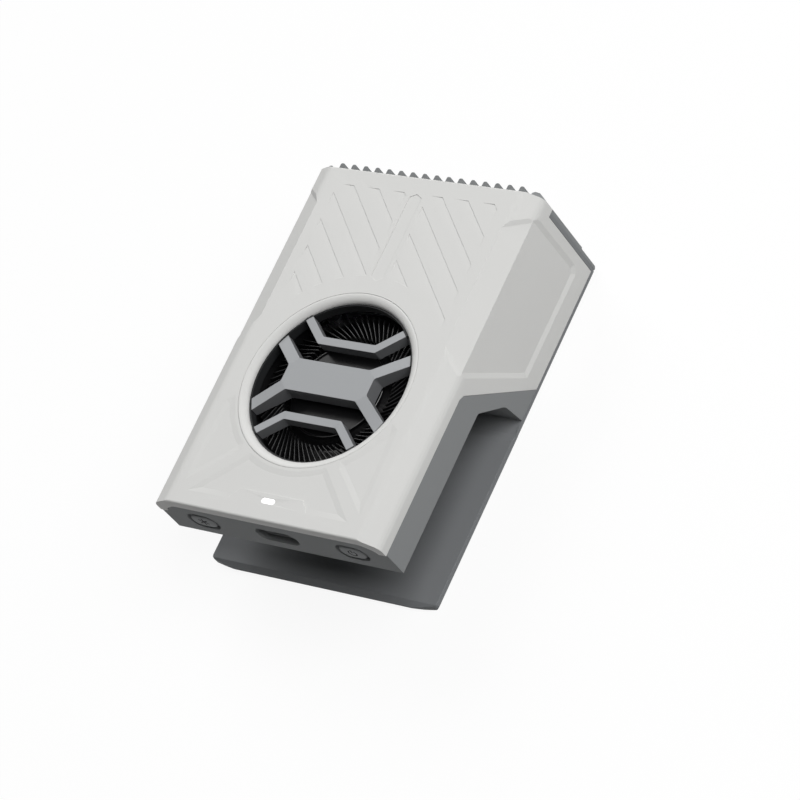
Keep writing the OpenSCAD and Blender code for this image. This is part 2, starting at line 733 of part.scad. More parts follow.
module bearing_sleeve() {
    color([0.72, 0.55, 0.3]) placed() translate([0, fan_y, 0]) rotate_extrude()
        polygon([[shaft_r + running, sink_top_z + 0.4], [sleeve_r, sink_top_z + 0.4],
            [sleeve_r, sleeve_top_z], [shaft_r + running, sleeve_top_z]]);
}

// Motor: six wound poles on the bearing post, a magnet ring in the wheel's hub
stator_z = housing_floor_z;
stator_h = sleeve_top_z - 0.8 - stator_z;
stator_r = hub_r - 2.5;
poles = 6;
magnet_t = 0.9;
hub_t = 1;

module stator_core() {
    z0 = stator_z + 0.5;
    z1 = stator_z + stator_h - 0.3;
    color([0.45, 0.46, 0.48]) placed() translate([0, fan_y, 0]) {
        difference() {
            union() {
                post(0, 0, bearing_post_r + 1.2, stator_z, z1);
                for (k = [0:poles - 1]) rotate([0, 0, k * 360 / poles])
                    block(0, stator_r - 0.5, -0.7, 0.7, z0, z1);
                intersection() {
                    difference() {
                        post(0, 0, stator_r, z0, z1);
                        post(0, 0, stator_r - 0.7, z0 - 1, z1 + 1);
                    }
                    for (k = [0:poles - 1]) rotate([0, 0, k * 360 / poles])
                        block(stator_r / 2, stator_r + 1, -3.2, 3.2, z0, z1);
                }
            }
            post(0, 0, bearing_post_r + 0.02, stator_z - 1, z1 + 1);
        }
    }
}

module stator_coils() {
    z0 = stator_z + 0.5;
    z1 = stator_z + stator_h - 0.3;
    x0 = bearing_post_r + 1.6;
    x1 = stator_r - 1;
    color([0.72, 0.38, 0.18]) placed() translate([0, fan_y, 0]) for (k = [0:poles - 1])
        rotate([0, 0, k * 360 / poles]) difference() {
            block(x0, x1, -1.4, 1.4, z0 - 0.4, z1 + 0.25);
            block(x0 - 1, x1 + 1, -0.72, 0.72, z0 - 0.02, z1 + 0.02);
        }
}

module fan_shaft() {
    color([0.8, 0.81, 0.82]) placed() post(0, fan_y, shaft_r, sink_top_z + 0.55, wheel_top_z - 0.6);
}

module rotor_magnet() {
    color([0.22, 0.22, 0.24]) placed() translate([0, fan_y, 0]) difference() {
        post(0, 0, hub_r - hub_t - 0.02, wheel_floor_z + 0.1, wheel_top_z - 0.9);
        post(0, 0, hub_r - hub_t - magnet_t, wheel_floor_z - 1, wheel_top_z + 1);
    }
}

// Fan wheel: hub cup, sloping collar, back plate and a crown of thin curved blades
collar_r = hub_r + 1.9;
blade_sweep = 17;
back_t = 0.6;
blade_top_z = wheel_top_z - 0.3;

// Lean of a blade at share u of the way from the collar to the rim
function blade_angle(u) = blade_sweep * (1.45 * u - 0.45 * u * u);
function blade_point(u, side) =
    let (r = collar_r + 0.1 + (wheel_r - collar_r - 0.3) * u, a = blade_angle(u) + side * blade_t / r * 28.6)
    [r * cos(a), r * sin(a)];
function blade_outline(n) = concat([for (i = [0:n]) blade_point(i / n, -1)],
    [for (i = [n:-1:0]) blade_point(i / n, 1)]);

module fan_wheel() {
    color([0.1, 0.1, 0.11]) placed() translate([0, fan_y, 0]) {
        difference() {
            rotate_extrude() polygon([[0, wheel_top_z - 1.25], [shaft_r + 1.4, wheel_top_z - 1.25],
                [shaft_r + 1.4, wheel_top_z - 0.8], [hub_r - hub_t, wheel_top_z - 0.8],
                [hub_r - hub_t, wheel_floor_z], [wheel_r, wheel_floor_z],
                [wheel_r, wheel_floor_z + back_t], [collar_r, wheel_floor_z + back_t],
                [hub_r, wheel_top_z - 0.8], [hub_r, wheel_top_z], [hub_r - 0.3, wheel_top_z],
                [hub_r - 0.3, wheel_top_z - 0.35], [0, wheel_top_z - 0.35]]);
            post(0, 0, shaft_r + 0.01, wheel_floor_z, wheel_top_z - 0.58);
        }
        along_z(wheel_floor_z + back_t / 2, blade_top_z) for (k = [0:blade_count - 1])
            rotate(k * 360 / blade_count) polygon(blade_outline(5));
    }
}

module main_board() {
    color([0.1, 0.3, 0.2]) placed() difference() {
        block(-board_half, board_half, board_y0, board_y1, board_z, board_z + board_t);
        for (s = [-1, 1]) post(s * board_peg_x, board_peg_y, through_r, board_z - 1, board_z + 2);
    }
}

usb_y0 = panel_y + usb_recess_d + 0.1;
usb_l = 7.3;
usb_wall = 0.3;

module usb_shell() {
    color([0.8, 0.8, 0.82]) placed() difference() {
        front_pill(0, usb_w, usb_h, usb_y0, usb_y0 + usb_l);
        front_pill(0, usb_w - 2 * usb_wall, usb_h - 2 * usb_wall, usb_y0 - 1, usb_y0 + usb_l - usb_wall);
    }
}

module usb_tongue() {
    color([0.08, 0.08, 0.09]) placed() {
        block(-3.35, 3.35, usb_y0 + 0.6, usb_y0 + usb_l - usb_wall, control_z - 0.35, control_z + 0.35);
        front_pill(0, usb_w - 2 * usb_wall, usb_h - 2 * usb_wall,
            usb_y0 + usb_l - 1.9, usb_y0 + usb_l - usb_wall);
    }
}

// Light guide: down from the window, back over the socket and down to the chip
guide_bar_z = control_z + usb_h / 2 + 0.3;
led_chip_y = usb_y0 + usb_l + 1.6;
led_chip_top_z = board_z + board_t + 0.8;

module light_pipe() {
    color([0.95, 0.96, 0.97, 0.8]) placed() {
        led_window(0, guide_bar_z, top_z);
        block(-1, 1, led_y, led_chip_y + 1, guide_bar_z, guide_bar_z + 1.4);
        block(-1, 1, led_chip_y - 0.6, led_chip_y + 1, led_chip_top_z, guide_bar_z + 0.5);
    }
}

module led_chip() {
    color([1, 0.97, 0.85]) placed()
        block(-0.8, 0.8, led_chip_y - 0.5, led_chip_y + 0.9, board_z + board_t, led_chip_top_z);
}

// Side-push switches behind the buttons
switch_y0 = front_in_y + 2.2;
switch_y1 = switch_y0 + 3;
plunger_r = 0.8;

module switch_body(x) {
    color([0.2, 0.2, 0.22]) placed() difference() {
        block(x - 3, x + 3, switch_y0, switch_y1, board_z + board_t, control_z + 1.9);
        translate([x, switch_y0 - 1, control_z]) rotate([-90, 0, 0]) cylinder(r = plunger_r + 0.1, h = 3);
    }
}

module mode_switch() { switch_body(-button_x); }

module power_switch() { switch_body(button_x); }

module plunger(x) {
    color([0.85, 0.84, 0.8]) placed() translate([x, front_in_y + 0.9, control_z]) rotate([-90, 0, 0])
        cylinder(r = plunger_r, h = 2.6);
}

module mode_plunger() { plunger(-button_x); }

module power_plunger() { plunger(button_x); }

// Button cap with the flange that holds it behind the wall
module button(x) {
    color([0.34, 0.35, 0.36]) placed() {
        front_pill(x, button_w, button_h, panel_y - 0.05, front_in_y + 0.3);
        front_pill(x, button_w + 1, button_h + 0.9, front_in_y + 0.05, front_in_y + 0.9);
    }
}

module mode_button() { button(-button_x); }

module power_button() { button(button_x); }

module guide_bushes() {
    color([0.75, 0.6, 0.35]) placed() for (s = [-1, 1]) translate([s * rod_x, rod_y, 0]) rotate_extrude()
        polygon([[rod_r + running, block_z + 0.2], [bush_r, block_z + 0.2], [bush_r, bush_top_z - 0.6],
            [bush_r + 1, bush_top_z - 0.6], [bush_r + 1, bush_top_z], [rod_r + running, bush_top_z]]);
}

module case_screws() {
    color([0.3, 0.3, 0.32]) placed() for (s = [-1, 1]) {
        for (y = case_screw_ys) screw_head_down(s * case_screw_x, y, belly_z + 0.1, case_split_z + 4.5);
        screw_head_down(s * case_screw_x, case_rear_y, block_z + 0.1, block_floor_z + 7.5);
    }
}

module sink_screws() {
    color([0.75, 0.75, 0.77]) placed() for (s = [-1, 1]) {
        screw_head_up(s * sink_screw_x, sink_screw_ys[0], sink_top_z, floor_z - 1);
        screw_head_up(s * sink_screw_x, sink_screw_ys[1], sink_top_z, sink_z - 5.5);
    }
}

module cold_plate_screws() {
    color([0.75, 0.75, 0.77]) placed() for (s = [-1, 1], q = [-1, 1])
        screw_head_down(s * cold_screw_x, tec_y + q * cold_screw_dy, cold_z + 0.1, sink_top_z - 0.1);
}

module fan_screws() {
    color([0.75, 0.75, 0.77]) placed() for (s = [-1, 1])
        screw_head_up(s * fan_screw_x, fan_screw_y, housing_floor_z, sink_z + 0.1);
}

module board_screws() {
    color([0.75, 0.75, 0.77]) placed() for (s = [-1, 1])
        screw_head_up(s * board_peg_x, board_peg_y, board_z + board_t, floor_z);
}

// Clamp plate: slot floor, chamfered front corners and an upturned leaf at the rear
head_r = rod_r + 1;
head_t = 0.6;

// A slope of 45 degrees along the underside's rim
rim_cut = 0.5;

module clamp_plate() {
    w = half_w + land_out;
    w_lip = half_w - 6.5;
    front = soften([[-w, slot_depth + 4], [-w, -0.2], [-w_lip, -plate_lip], [w_lip, -plate_lip],
        [w, -0.2], [w, slot_depth + 4]], [0, 1.2, 3, 3, 1.2, 0], 5);
    color([0.33, 0.34, 0.35]) placed() difference() {
        union() {
            along_z(0, plate_t + land_t) polygon(front);
            block(-half_w, half_w, slot_depth, grip_y, 0, plate_t);
            block(-half_w, half_w, leaf_y, grip_y, 0, step_z - jaw_gap);
        }
        along_x(-w - 1, w + 1) polygon([[-plate_lip - 1, plate_t + land_t + 0.01],
            [-plate_lip - 1, plate_t + land_t - 1.6], [-plate_lip + 1.4, plate_t + land_t + 0.01]]);
        along_x(-w - 1, w + 1) polygon([[-plate_lip - 1, -0.01], [-plate_lip - 1, rim_cut + 1],
            [-plate_lip + rim_cut, -0.01]]);
        for (s = [-1, 1]) along_y(-5, grip_y + 1) polygon([[s * (w + 1), -0.01], [s * (w + 1), rim_cut + 1],
            [s * (w - rim_cut), -0.01]]);
        // The slot's floor ends in front of the body's rear block
        along_x(-w - 1, w + 1) polygon([[slot_depth + 2, plate_t + land_t + 0.01],
            [slot_depth + 4, plate_t], [slot_depth + 6, plate_t], [slot_depth + 6, plate_t + land_t + 0.01]]);
        along_x(-w - 1, w + 1) polygon([[grip_y - 0.8, -0.01], [grip_y + 0.01, 0.8],
            [grip_y + 1, -0.01]]);
        vents(leaf_y - 1, grip_y + 1);
        for (s = [-1, 1]) {
            post(s * rod_x, rod_y, head_r + fit, -1, head_t + fit);
            post(s * rod_x, rod_y, rod_r + 0.02, -1, plate_t + 1);
            for (x = grip_screw_xs) grip_screw_hole(s * x, screw_r + 0.01);
        }
    }
}

grip_screw_xs = [3 * rib_pitch, 7.5 * rib_pitch];
grip_screw_z = 5;

module grip_screw_hole(x, r) {
    translate([x, leaf_y - 1, grip_screw_z]) rotate([-90, 0, 0]) cylinder(r = r, h = 5);
}

rib_z = block_z + 8.2;
rib_top_z = top_z - 1.5;
rib_slope = 1;
post_top_z = top_z - 2;
post_drop = 1.4;

module rib_2d() {
    polygon([[-1.4, body_l - 0.1], [1.4, body_l - 0.1], [1.4, body_l + 0.15], [0.6, rib_tip_y - 0.2],
        [0.3, rib_tip_y], [-0.3, rib_tip_y], [-0.6, rib_tip_y - 0.2], [-1.4, body_l + 0.15]]);
}

module corner_post_2d() {
    polygon([[half_w - 4.1, body_l - 0.1], [half_w - 3.7, body_l + 1.2], [half_w - 3.1, body_l + 1.7],
        [half_w - 2.1, body_l + 1.8], [half_w - 0.9, body_l + 0.95], [half_w - 0.2, body_l + 0.45],
        [half_w, body_l - 0.1]]);
}

module grip_wall() {
    color([0.36, 0.37, 0.38]) placed() difference() {
        union() {
            along_x(-half_w, half_w) polygon([[grip_y, 0.3], [grip_y + 0.25, 0.3],
                each corner([grip_y, 0.3], [body_l, 0.6], [body_l, 9], 0.5, 3),
                [body_l, lip_z - jaw_gap], [grip_y, lip_z - jaw_gap]]);
            // The ribs' upper ends slope down to the cover's lip
            intersection() {
                along_z(rib_z, rib_top_z) for (k = [0:rib_count - 1])
                    translate([(k - (rib_count - 1) / 2) * rib_pitch, 0]) rib_2d();
                along_x(-half_w, half_w) polygon([[grip_y, rib_z], [rib_tip_y, rib_z],
                    [rib_tip_y, rib_top_z], [body_l, rib_top_z - rib_slope],
                    [grip_y, rib_top_z - rib_slope]]);
            }
            // The corner posts end under the line of the shoulders
            intersection() {
                along_z(rib_z - 1.5, post_top_z) for (s = [0, 1]) mirror([s, 0, 0]) corner_post_2d();
                along_y(grip_y, rib_tip_y) polygon(cover_section(0, post_drop, 0));
            }
        }
        // Room for the cover's lip and cheeks
        along_y(grip_y - 1, lip_y + jaw_gap) difference() {
            translate([-half_w - 1, step_z - jaw_gap]) square([body_w + 2, top_z]);
            polygon(cover_section(cheek_t + shell_clear, lip_t + jaw_gap, 0));
        }
        // Slanted lower ends of the ribs
        along_x(-half_w - 1, half_w + 1) polygon([[body_l, rib_z - 2], [body_l + rib_d + 1, rib_z - 2],
            [body_l + rib_d + 1, rib_z + rib_d]]);
        vents(grip_y - 1, body_l + 0.05);
        for (s = [-1, 1], x = grip_screw_xs) grip_screw_hole(s * x, through_r);
    }
}

module grip_screws() {
    color([0.3, 0.3, 0.32]) placed() for (s = [-1, 1], x = grip_screw_xs)
        translate([s * x, 0, grip_screw_z]) rotate([-90, 0, 0]) {
            translate([0, 0, leaf_y + 0.05]) cylinder(r = screw_r, h = body_l - leaf_y);
            translate([0, 0, body_l]) cylinder(r = screw_head_r, h = 0.8);
        }
}

module jaw_pad() {
    color([0.2, 0.2, 0.21]) placed()
        along_z(plate_t + land_t, plate_t + jaw_pad_t) translate([0, tec_y + 1])
            soft_square(cold_half_x, cold_half_y + 3, 3);
}

module guide_rods() {
    color([0.8, 0.81, 0.82]) placed() for (s = [-1, 1]) {
        post(s * rod_x, rod_y, head_r, 0.05, head_t);
        post(s * rod_x, rod_y, rod_r, 0.05, cap_z + cap_t);
    }
}

module rod_caps() {
    color([0.35, 0.35, 0.37]) placed() for (s = [-1, 1]) translate([s * rod_x, rod_y, cap_z]) difference() {
        cylinder(r = cap_r, h = cap_t);
        translate([0, 0, -1]) cylinder(r = rod_r + 0.01, h = cap_t + 2);
    }
}

// Return springs between the bushes and the caps: one unbroken wire, with a short
// straight end down to each seat
spring_r = rod_r + 0.35 + spring_wire / 2;
spring_z0 = bush_top_z;
spring_z1 = cap_z;
spring_rings = 8;
spring_rise = (spring_z1 - spring_z0 - 3 * spring_wire) / spring_turns;

function spring_path() =
    let (n = spring_turns * spring_rings, a = 360 / spring_rings, r = spring_r)
    concat([[r, 0, spring_z0], [r, 0, spring_z0 + spring_wire]],
        [for (i = [1:n - 1]) [r * cos(i * a), r * sin(i * a),
            spring_z0 + 1.5 * spring_wire + i * spring_rise / spring_rings]],
        [[r, 0, spring_z1 - spring_wire], [r, 0, spring_z1]]);

function ring_round(p, d, r, sides) =
    let (w = unit(d), u = unit(cross([p.x, p.y, 0], w)), v = cross(w, u))
    [for (j = [0:sides - 1]) p + r * (cos(j * 360 / sides) * u + sin(j * 360 / sides) * v)];

module wire_tube(path, r, sides) {
    n = len(path);
    rings = [for (i = [0:n - 1])
        let (ahead = path[min(i + 1, n - 1)] - path[i], behind = path[i] - path[max(i - 1, 0)])
        ring_round(path[i], i == 0 ? ahead : i == n - 1 ? behind : unit(ahead) + unit(behind), r, sides)];
    points = [for (ring = rings, p = ring) p];
    walls = [for (i = [0:n - 2], j = [0:sides - 1])
        let (a = i * sides + j, b = i * sides + (j + 1) % sides)
        each [[a, b, a + sides], [b, b + sides, a + sides]]];
    ends = [for (j = [1:sides - 2]) each [[0, j + 1, j],
        [(n - 1) * sides, (n - 1) * sides + j, (n - 1) * sides + j + 1]]];
    polyhedron(points, concat(walls, ends));
}

// Least gap between one turn and the next, wire to wire
function turn_gaps() =
    let (p = spring_path(), n = len(p))
    [for (i = [0:n - 1], j = [i + spring_rings - 3:n - 1]) if (j < n) norm(p[i] - p[j]) - spring_wire];
echo(spring_gap = min(turn_gaps()));

module return_spring(s) {
    color([0.7, 0.71, 0.73]) placed() translate([s * rod_x, rod_y, 0])
        wire_tube(spring_path(), spring_wire / 2, 6);
}

module spring_left() { return_spring(-1); }

module spring_right() { return_spring(1); }

top_shell();
fan_ring();
grille();
base_frame();
cold_plate();
cold_pad();
gasket();
tec_cold_face();
tec_legs();
tec_hot_face();
tec_flex();
heat_sink();
fan_housing();
stator_core();
stator_coils();
bearing_sleeve();
fan_shaft();
rotor_magnet();
fan_wheel();
main_board();
usb_shell();
usb_tongue();
led_chip();
light_pipe();
mode_switch();
power_switch();
mode_plunger();
power_plunger();
mode_button();
power_button();
guide_bushes();
case_screws();
sink_screws();
cold_plate_screws();
fan_screws();
board_screws();
clamp_plate();
grip_wall();
grip_screws();
jaw_pad();
guide_rods();
rod_caps();
spring_left();
spring_right();
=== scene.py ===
"""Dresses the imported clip-on thermoelectric cooler and sets up its studio.

Lengths in the classes are millimetres, with y counted from the front face and z
from the underside of the clamp plate. Meshes are built in metres in the row frame.
"""

import json
import logging
import math
from collections.abc import Iterable, Sequence
from dataclasses import dataclass, field
from enum import Enum
from typing import ClassVar

import bmesh
import bpy
from mathutils import Matrix, Vector

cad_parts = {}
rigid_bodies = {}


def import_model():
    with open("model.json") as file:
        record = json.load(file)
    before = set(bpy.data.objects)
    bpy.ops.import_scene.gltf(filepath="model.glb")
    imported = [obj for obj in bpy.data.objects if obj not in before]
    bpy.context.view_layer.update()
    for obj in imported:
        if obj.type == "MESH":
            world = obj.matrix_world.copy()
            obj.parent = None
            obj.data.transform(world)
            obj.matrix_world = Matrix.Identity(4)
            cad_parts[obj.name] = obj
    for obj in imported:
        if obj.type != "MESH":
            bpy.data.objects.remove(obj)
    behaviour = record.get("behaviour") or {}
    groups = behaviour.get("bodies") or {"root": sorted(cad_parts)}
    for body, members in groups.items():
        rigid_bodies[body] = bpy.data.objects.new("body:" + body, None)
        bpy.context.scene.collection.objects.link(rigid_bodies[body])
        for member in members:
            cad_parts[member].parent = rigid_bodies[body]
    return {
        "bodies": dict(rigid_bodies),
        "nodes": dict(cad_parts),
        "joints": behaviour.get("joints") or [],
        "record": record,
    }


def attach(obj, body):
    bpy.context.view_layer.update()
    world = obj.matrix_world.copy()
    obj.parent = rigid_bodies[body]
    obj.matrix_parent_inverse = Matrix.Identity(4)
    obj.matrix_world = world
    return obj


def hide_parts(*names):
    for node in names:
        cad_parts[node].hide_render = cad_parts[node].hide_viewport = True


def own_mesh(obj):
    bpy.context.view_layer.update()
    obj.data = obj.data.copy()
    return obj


log = logging.getLogger("cooler")

MM = 0.001
MID_Y = 46.0
TOP_Z = 30.9
CONTROL_Z = 22.65
FAN_Y = 36.5

Point2 = tuple[float, float]
Point3 = tuple[float, float, float]
Rgb = tuple[int, int, int]


def place(x: float, y: float, z: float) -> Vector:
    """Turns front-face millimetres into row-frame metres."""
    return Vector((x, y - MID_Y, z)) * MM


def linear(colour: Rgb) -> tuple[float, float, float, float]:
    """Turns an 8-bit display colour into a linear colour with full alpha.

    Args:
        colour: red, green and blue from 0 to 255.

    Returns:
        The linear colour as Blender's sockets take it.
    """
    parts = [c / 255 for c in colour]
    out = [c / 12.92 if c <= 0.04045 else ((c + 0.055) / 1.055) ** 2.4 for c in parts]
    return (out[0], out[1], out[2], 1.0)


# Shaders


class Value:
    """A shader output that takes part in Python arithmetic."""

    def __init__(self, graph: "Graph", socket: bpy.types.NodeSocket) -> None:
        """Keeps the graph that new nodes go to, and the socket."""
        self.graph = graph
        self.socket = socket

    def _math(self, operation: str, first: "Value | float", second: "Value | float") -> "Value":
        """Adds one Math node and gives its result."""
        node = self.graph.node("ShaderNodeMath", {"operation": operation}, {0: first, 1: second})
        return Value(self.graph, node.outputs[0])

    def __add__(self, other: "Value | float") -> "Value":
        """Sum."""
        return self._math("ADD", self, other)

    def __radd__(self, other: float) -> "Value":
        """Sum with a number on the left."""
        return self._math("ADD", other, self)

    def __sub__(self, other: "Value | float") -> "Value":
        """Difference."""
        return self._math("SUBTRACT", self, other)

    def __mul__(self, other: "Value | float") -> "Value":
        """Product."""
        return self._math("MULTIPLY", self, other)

    def above(self, limit: float) -> "Value":
        """1 where the value is over the limit, else 0."""
        return self._math("GREATER_THAN", self, limit)

    def largest(self, other: "Value | float") -> "Value":
        """The larger of the two."""
        return self._math("MAXIMUM", self, other)


class Graph:
    """Adds nodes to one node tree."""

    @classmethod
    def fresh(cls, owner: bpy.types.Material | bpy.types.World) -> "Graph":
        """An emptied graph of a material or a world."""
        owner.use_nodes = True
        owner.node_tree.nodes.clear()
        return cls(owner.node_tree)

    def __init__(self, tree: bpy.types.NodeTree) -> None:
        """Keeps the tree."""
        self.tree = tree

    def node(self, kind: str, settings: dict[str, object] | None = None,
             values: dict[int | str, object] | None = None) -> bpy.types.Node:
        """Adds a node, sets it up and fills its inputs.

        Args:
            kind: the node's type.
            settings: its properties, set first; "stops" fills a colour ramp.
            values: a number, a vector, a socket or a Value for each input named.

        Returns:
            The new node.
        """
        made = self.tree.nodes.new(kind)
        for name, setting in (settings or {}).items():
            if name == "stops":
                self._stops(made, setting)
            else:
                setattr(made, name, setting)
        for key, value in (values or {}).items():
            if isinstance(value, Value):
                self.tree.links.new(value.socket, made.inputs[key])
            elif isinstance(value, bpy.types.NodeSocket):
                self.tree.links.new(value, made.inputs[key])
            else:
                made.inputs[key].default_value = value
        return made

    @staticmethod
    def _stops(node: bpy.types.Node, stops: Iterable[tuple[float, tuple[float, ...]]]) -> None:
        """Fills a colour ramp with (place, colour) stops."""
        elements = node.color_ramp.elements
        while len(elements) > 1:
            elements.remove(elements[-1])
        for index, (position, colour) in enumerate(stops):
            element = elements[0] if index == 0 else elements.new(position)
            element.position = position
            element.color = colour

    def value(self, node: bpy.types.Node, output: int | str = 0) -> Value:
        """Wraps one output of a node."""
        return Value(self, node.outputs[output])

    def noise(self, scale: float, detail: float = 2.0, stretch: Sequence[float] = (1, 1, 1)) -> Value:
        """Noise over the piece in the row frame.

        Args:
            scale: features for each metre.
            detail: octaves of finer noise.
            stretch: factors that squeeze the pattern along each axis.

        Returns:
            A value about 0.5.
        """
        coords = self.node("ShaderNodeTexCoord")
        mapped = self.node("ShaderNodeMapping", values={"Vector": coords.outputs["Object"],
                                                        "Scale": tuple(stretch)})
        made = self.node("ShaderNodeTexNoise", values={"Vector": mapped.outputs[0], "Scale": scale,
                                                       "Detail": detail})
        return self.value(made)

    def fan_radius(self) -> Value:
        """The distance from the fan's axis, in metres."""
        coords = self.node("ShaderNodeTexCoord")
        level = self.node("ShaderNodeVectorMath", {"operation": "MULTIPLY"},
                          {0: coords.outputs["Object"], 1: (1, 1, 0)})
        away = self.node("ShaderNodeVectorMath", {"operation": "DISTANCE"},
                         {0: level.outputs[0], 1: place(0, FAN_Y, 0)})
        return self.value(away, "Value")

    def rays(self, *kinds: str) -> Value:
        """1 for rays of any of the kinds that the Light Path node names, else 0."""
        path = self.node("ShaderNodeLightPath")
        found, *others = [self.value(path, kind) for kind in kinds]
        for other in others:
            found = found.largest(other)
        return found

    def blend(self, factor: Value | float, first: object, second: object) -> Value:
        """Mixes two colours by a factor."""
        made = self.node("ShaderNodeMix", {"data_type": "RGBA"}, {0: factor, 6: first, 7: second})
        return self.value(made, 2)


@dataclass(frozen=True)
class Finish:
    """A surface finish with fine grain, slight tone changes and softened edges."""

    made: ClassVar[dict[str, bpy.types.Material]] = {}

    name: str
    slot: str
    colour: Rgb
    roughness: float = 0.5
    metallic: float = 0.0
    coat: float = 0.0
    specular: float = 0.5
    tone: float = 0.03
    tone_scale: float = 60.0
    grain_mm: float = 0.004
    grain_scale: float = 4000.0
    edge_mm: float = 0.0
    stretch: Point3 = (1, 1, 1)

    def build(self) -> bpy.types.Material:
        """Makes the material, once for each finish.

        Returns:
            The material.
        """
        if self.name in self.made:
            return self.made[self.name]
        material = bpy.data.materials.new("finish_" + self.name)
        self.made[self.name] = material
        graph = Graph.fresh(material)
        surface = graph.node("ShaderNodeBsdfPrincipled", values={
            "Roughness": self.roughness, "Metallic": self.metallic, "Coat Weight": self.coat,
            "Coat Roughness": 0.12, "Specular IOR Level": self.specular})
        self.dress(graph, surface)
        graph.node("ShaderNodeOutputMaterial", values={"Surface": surface.outputs[0]})
        material.diffuse_color = linear(self.colour)
        return material

    def dress(self, graph: Graph, surface: bpy.types.Node) -> None:
        """Links what changes over the surface.

        Args:
            graph: the material's graph.
            surface: its shader node.
        """
        base = linear(self.colour)
        cloud = graph.noise(self.tone_scale, 3.0)
        grain = graph.noise(self.grain_scale, 2.0, self.stretch)
        dark = tuple(c * (1 - self.tone) for c in base[:3]) + (1.0,)
        light = tuple(min(1.0, c * (1 + self.tone)) for c in base[:3]) + (1.0,)
        colour = graph.blend(cloud * 0.7 + grain * 0.3, dark, light)
        graph.tree.links.new(colour.socket, surface.inputs["Base Color"])
        rough = self.roughness + (cloud - 0.5) * 0.08 + (grain - 0.5) * 0.1
        graph.tree.links.new(rough.socket, surface.inputs["Roughness"])
        bump = graph.node("ShaderNodeBump", values={"Height": grain, "Distance": self.grain_mm * MM,
                                                    "Strength": 1.0})
        if self.edge_mm:
            edge = graph.node("ShaderNodeBevel", {"samples": 6}, {"Radius": self.edge_mm * MM})
            graph.tree.links.new(edge.outputs[0], bump.inputs["Normal"])
        graph.tree.links.new(bump.outputs[0], surface.inputs["Normal"])


@dataclass(frozen=True)
class WallShadeFinish(Finish):
    """A finish round the fan's axis with painted shade on its upright walls, and darker painted shade past
    the rim radius, on the outer wall under the intake ring.
    """

    # side: painted shade, the colour given to the upright walls where they fall in shade
    side: Rgb = (112, 113, 115)
    # rim: painted shade, the near-black colour of the outer wall lying in shade under the intake ring
    rim: Rgb = (40, 41, 42)
    rim_radius: float = 20.3

    def dress(self, graph: Graph, surface: bpy.types.Node) -> None:
        """Paints shade on the upright walls and darker shade on what lies past the rim's inner radius."""
        super().dress(graph, surface)
        plain = surface.inputs["Base Color"].links[0].from_socket
        geometry = graph.node("ShaderNodeNewGeometry")
        parts = graph.node("ShaderNodeSeparateXYZ", values={0: geometry.outputs["True Normal"]})
        up = graph.value(parts, "Z")
        # Painted shade: faces that stand upright take the darker side colour.
        plain = graph.blend(up.largest(up * -1).above(0.5), linear(self.side), plain)
        # Painted shade: past the rim radius the colour turns near black.
        wall = graph.fan_radius().above(self.rim_radius * MM)
        colour = graph.blend(wall, plain.socket, linear(self.rim))
        graph.tree.links.new(colour.socket, surface.inputs["Base Color"])


@dataclass(frozen=True)
class CollarFinish(Finish):
    """A finish round the fan's axis that is glossy outside its hub."""

    hub_radius: float = 12.0

    def dress(self, graph: Graph, surface: bpy.types.Node) -> None:
        """Adds the glossy coat past the hub."""
        super().dress(graph, surface)
        gloss = graph.fan_radius().above(self.hub_radius * MM)
        graph.tree.links.new(gloss.socket, surface.inputs["Coat Weight"])


@dataclass(frozen=True)
class LitFinish(Finish):
    """A frosted window lit from behind."""

    glow: float = 1.0

    def dress(self, graph: Graph, surface: bpy.types.Node) -> None:
        """Adds an even glow to the plain finish."""
        super().dress(graph, surface)
        surface.inputs["Emission Color"].default_value = (1.0, 1.0, 1.0, 1.0)
        surface.inputs["Emission Strength"].default_value = self.glow


COVER = Finish("satin_silver", "cover_silver", (214, 214, 212), roughness=0.55, specular=0.15, edge_mm=0.12,
               grain_mm=0.002)
RING = Finish("ring_silver", "ring_silver", (215, 215, 213), roughness=0.42, specular=0.2, grain_mm=0.001)
# The grille's upright walls and its outer wall carry painted shade.
GRILLE = WallShadeFinish("grille_grey", "grille_grey", (160, 162, 164), roughness=0.5, specular=0.15,
                      edge_mm=0.15)
FRAME = Finish("frame_grey", "frame_grey", (138, 140, 141), roughness=0.6, specular=0.08, edge_mm=0.2,
               grain_mm=0.004)
PLATE = Finish("plate_grey", "plate_grey", (128, 130, 132), roughness=0.5, specular=0.08, edge_mm=0.25)
KEYS = Finish("key_grey", "button_grey", (140, 142, 143), roughness=0.55, specular=0.08)
MARKS = Finish("key_mark", "button_grey", (26, 26, 28), roughness=0.6, specular=0.05)
ALUMINIUM = Finish("bare_aluminium", "bare_aluminium", (196, 198, 201), roughness=0.35, metallic=1.0,
                   stretch=(1, 0.05, 1), edge_mm=0.15)
SINK = Finish("sink_aluminium", "sink_aluminium", (176, 178, 182), roughness=0.38, metallic=1.0,
              stretch=(1, 0.05, 1))
SOFT_PAD = Finish("soft_pad", "soft_pad", (48, 48, 50), roughness=0.85, grain_mm=0.012, grain_scale=2600.0)
COLD_PAD = Finish("cold_pad_grey", "thermal_pad_grey", (134, 137, 141), roughness=0.75, grain_mm=0.01)
CERAMIC = Finish("ceramic_white", "ceramic_white", (236, 235, 228), roughness=0.6, grain_mm=0.004)
LEGS = Finish("leg_metal", "leg_metal", (128, 128, 138), roughness=0.4, metallic=1.0)
FILM = Finish("amber_film", "amber_film", (176, 112, 38), roughness=0.3, coat=0.4)
HOUSING = Finish("housing_black", "housing_black", (27, 27, 28), roughness=0.5, specular=0.12, grain_mm=0.004)
WHEEL = CollarFinish("wheel_black", "wheel_black", (15, 15, 16), roughness=0.3, specular=0.15, grain_mm=0.001)
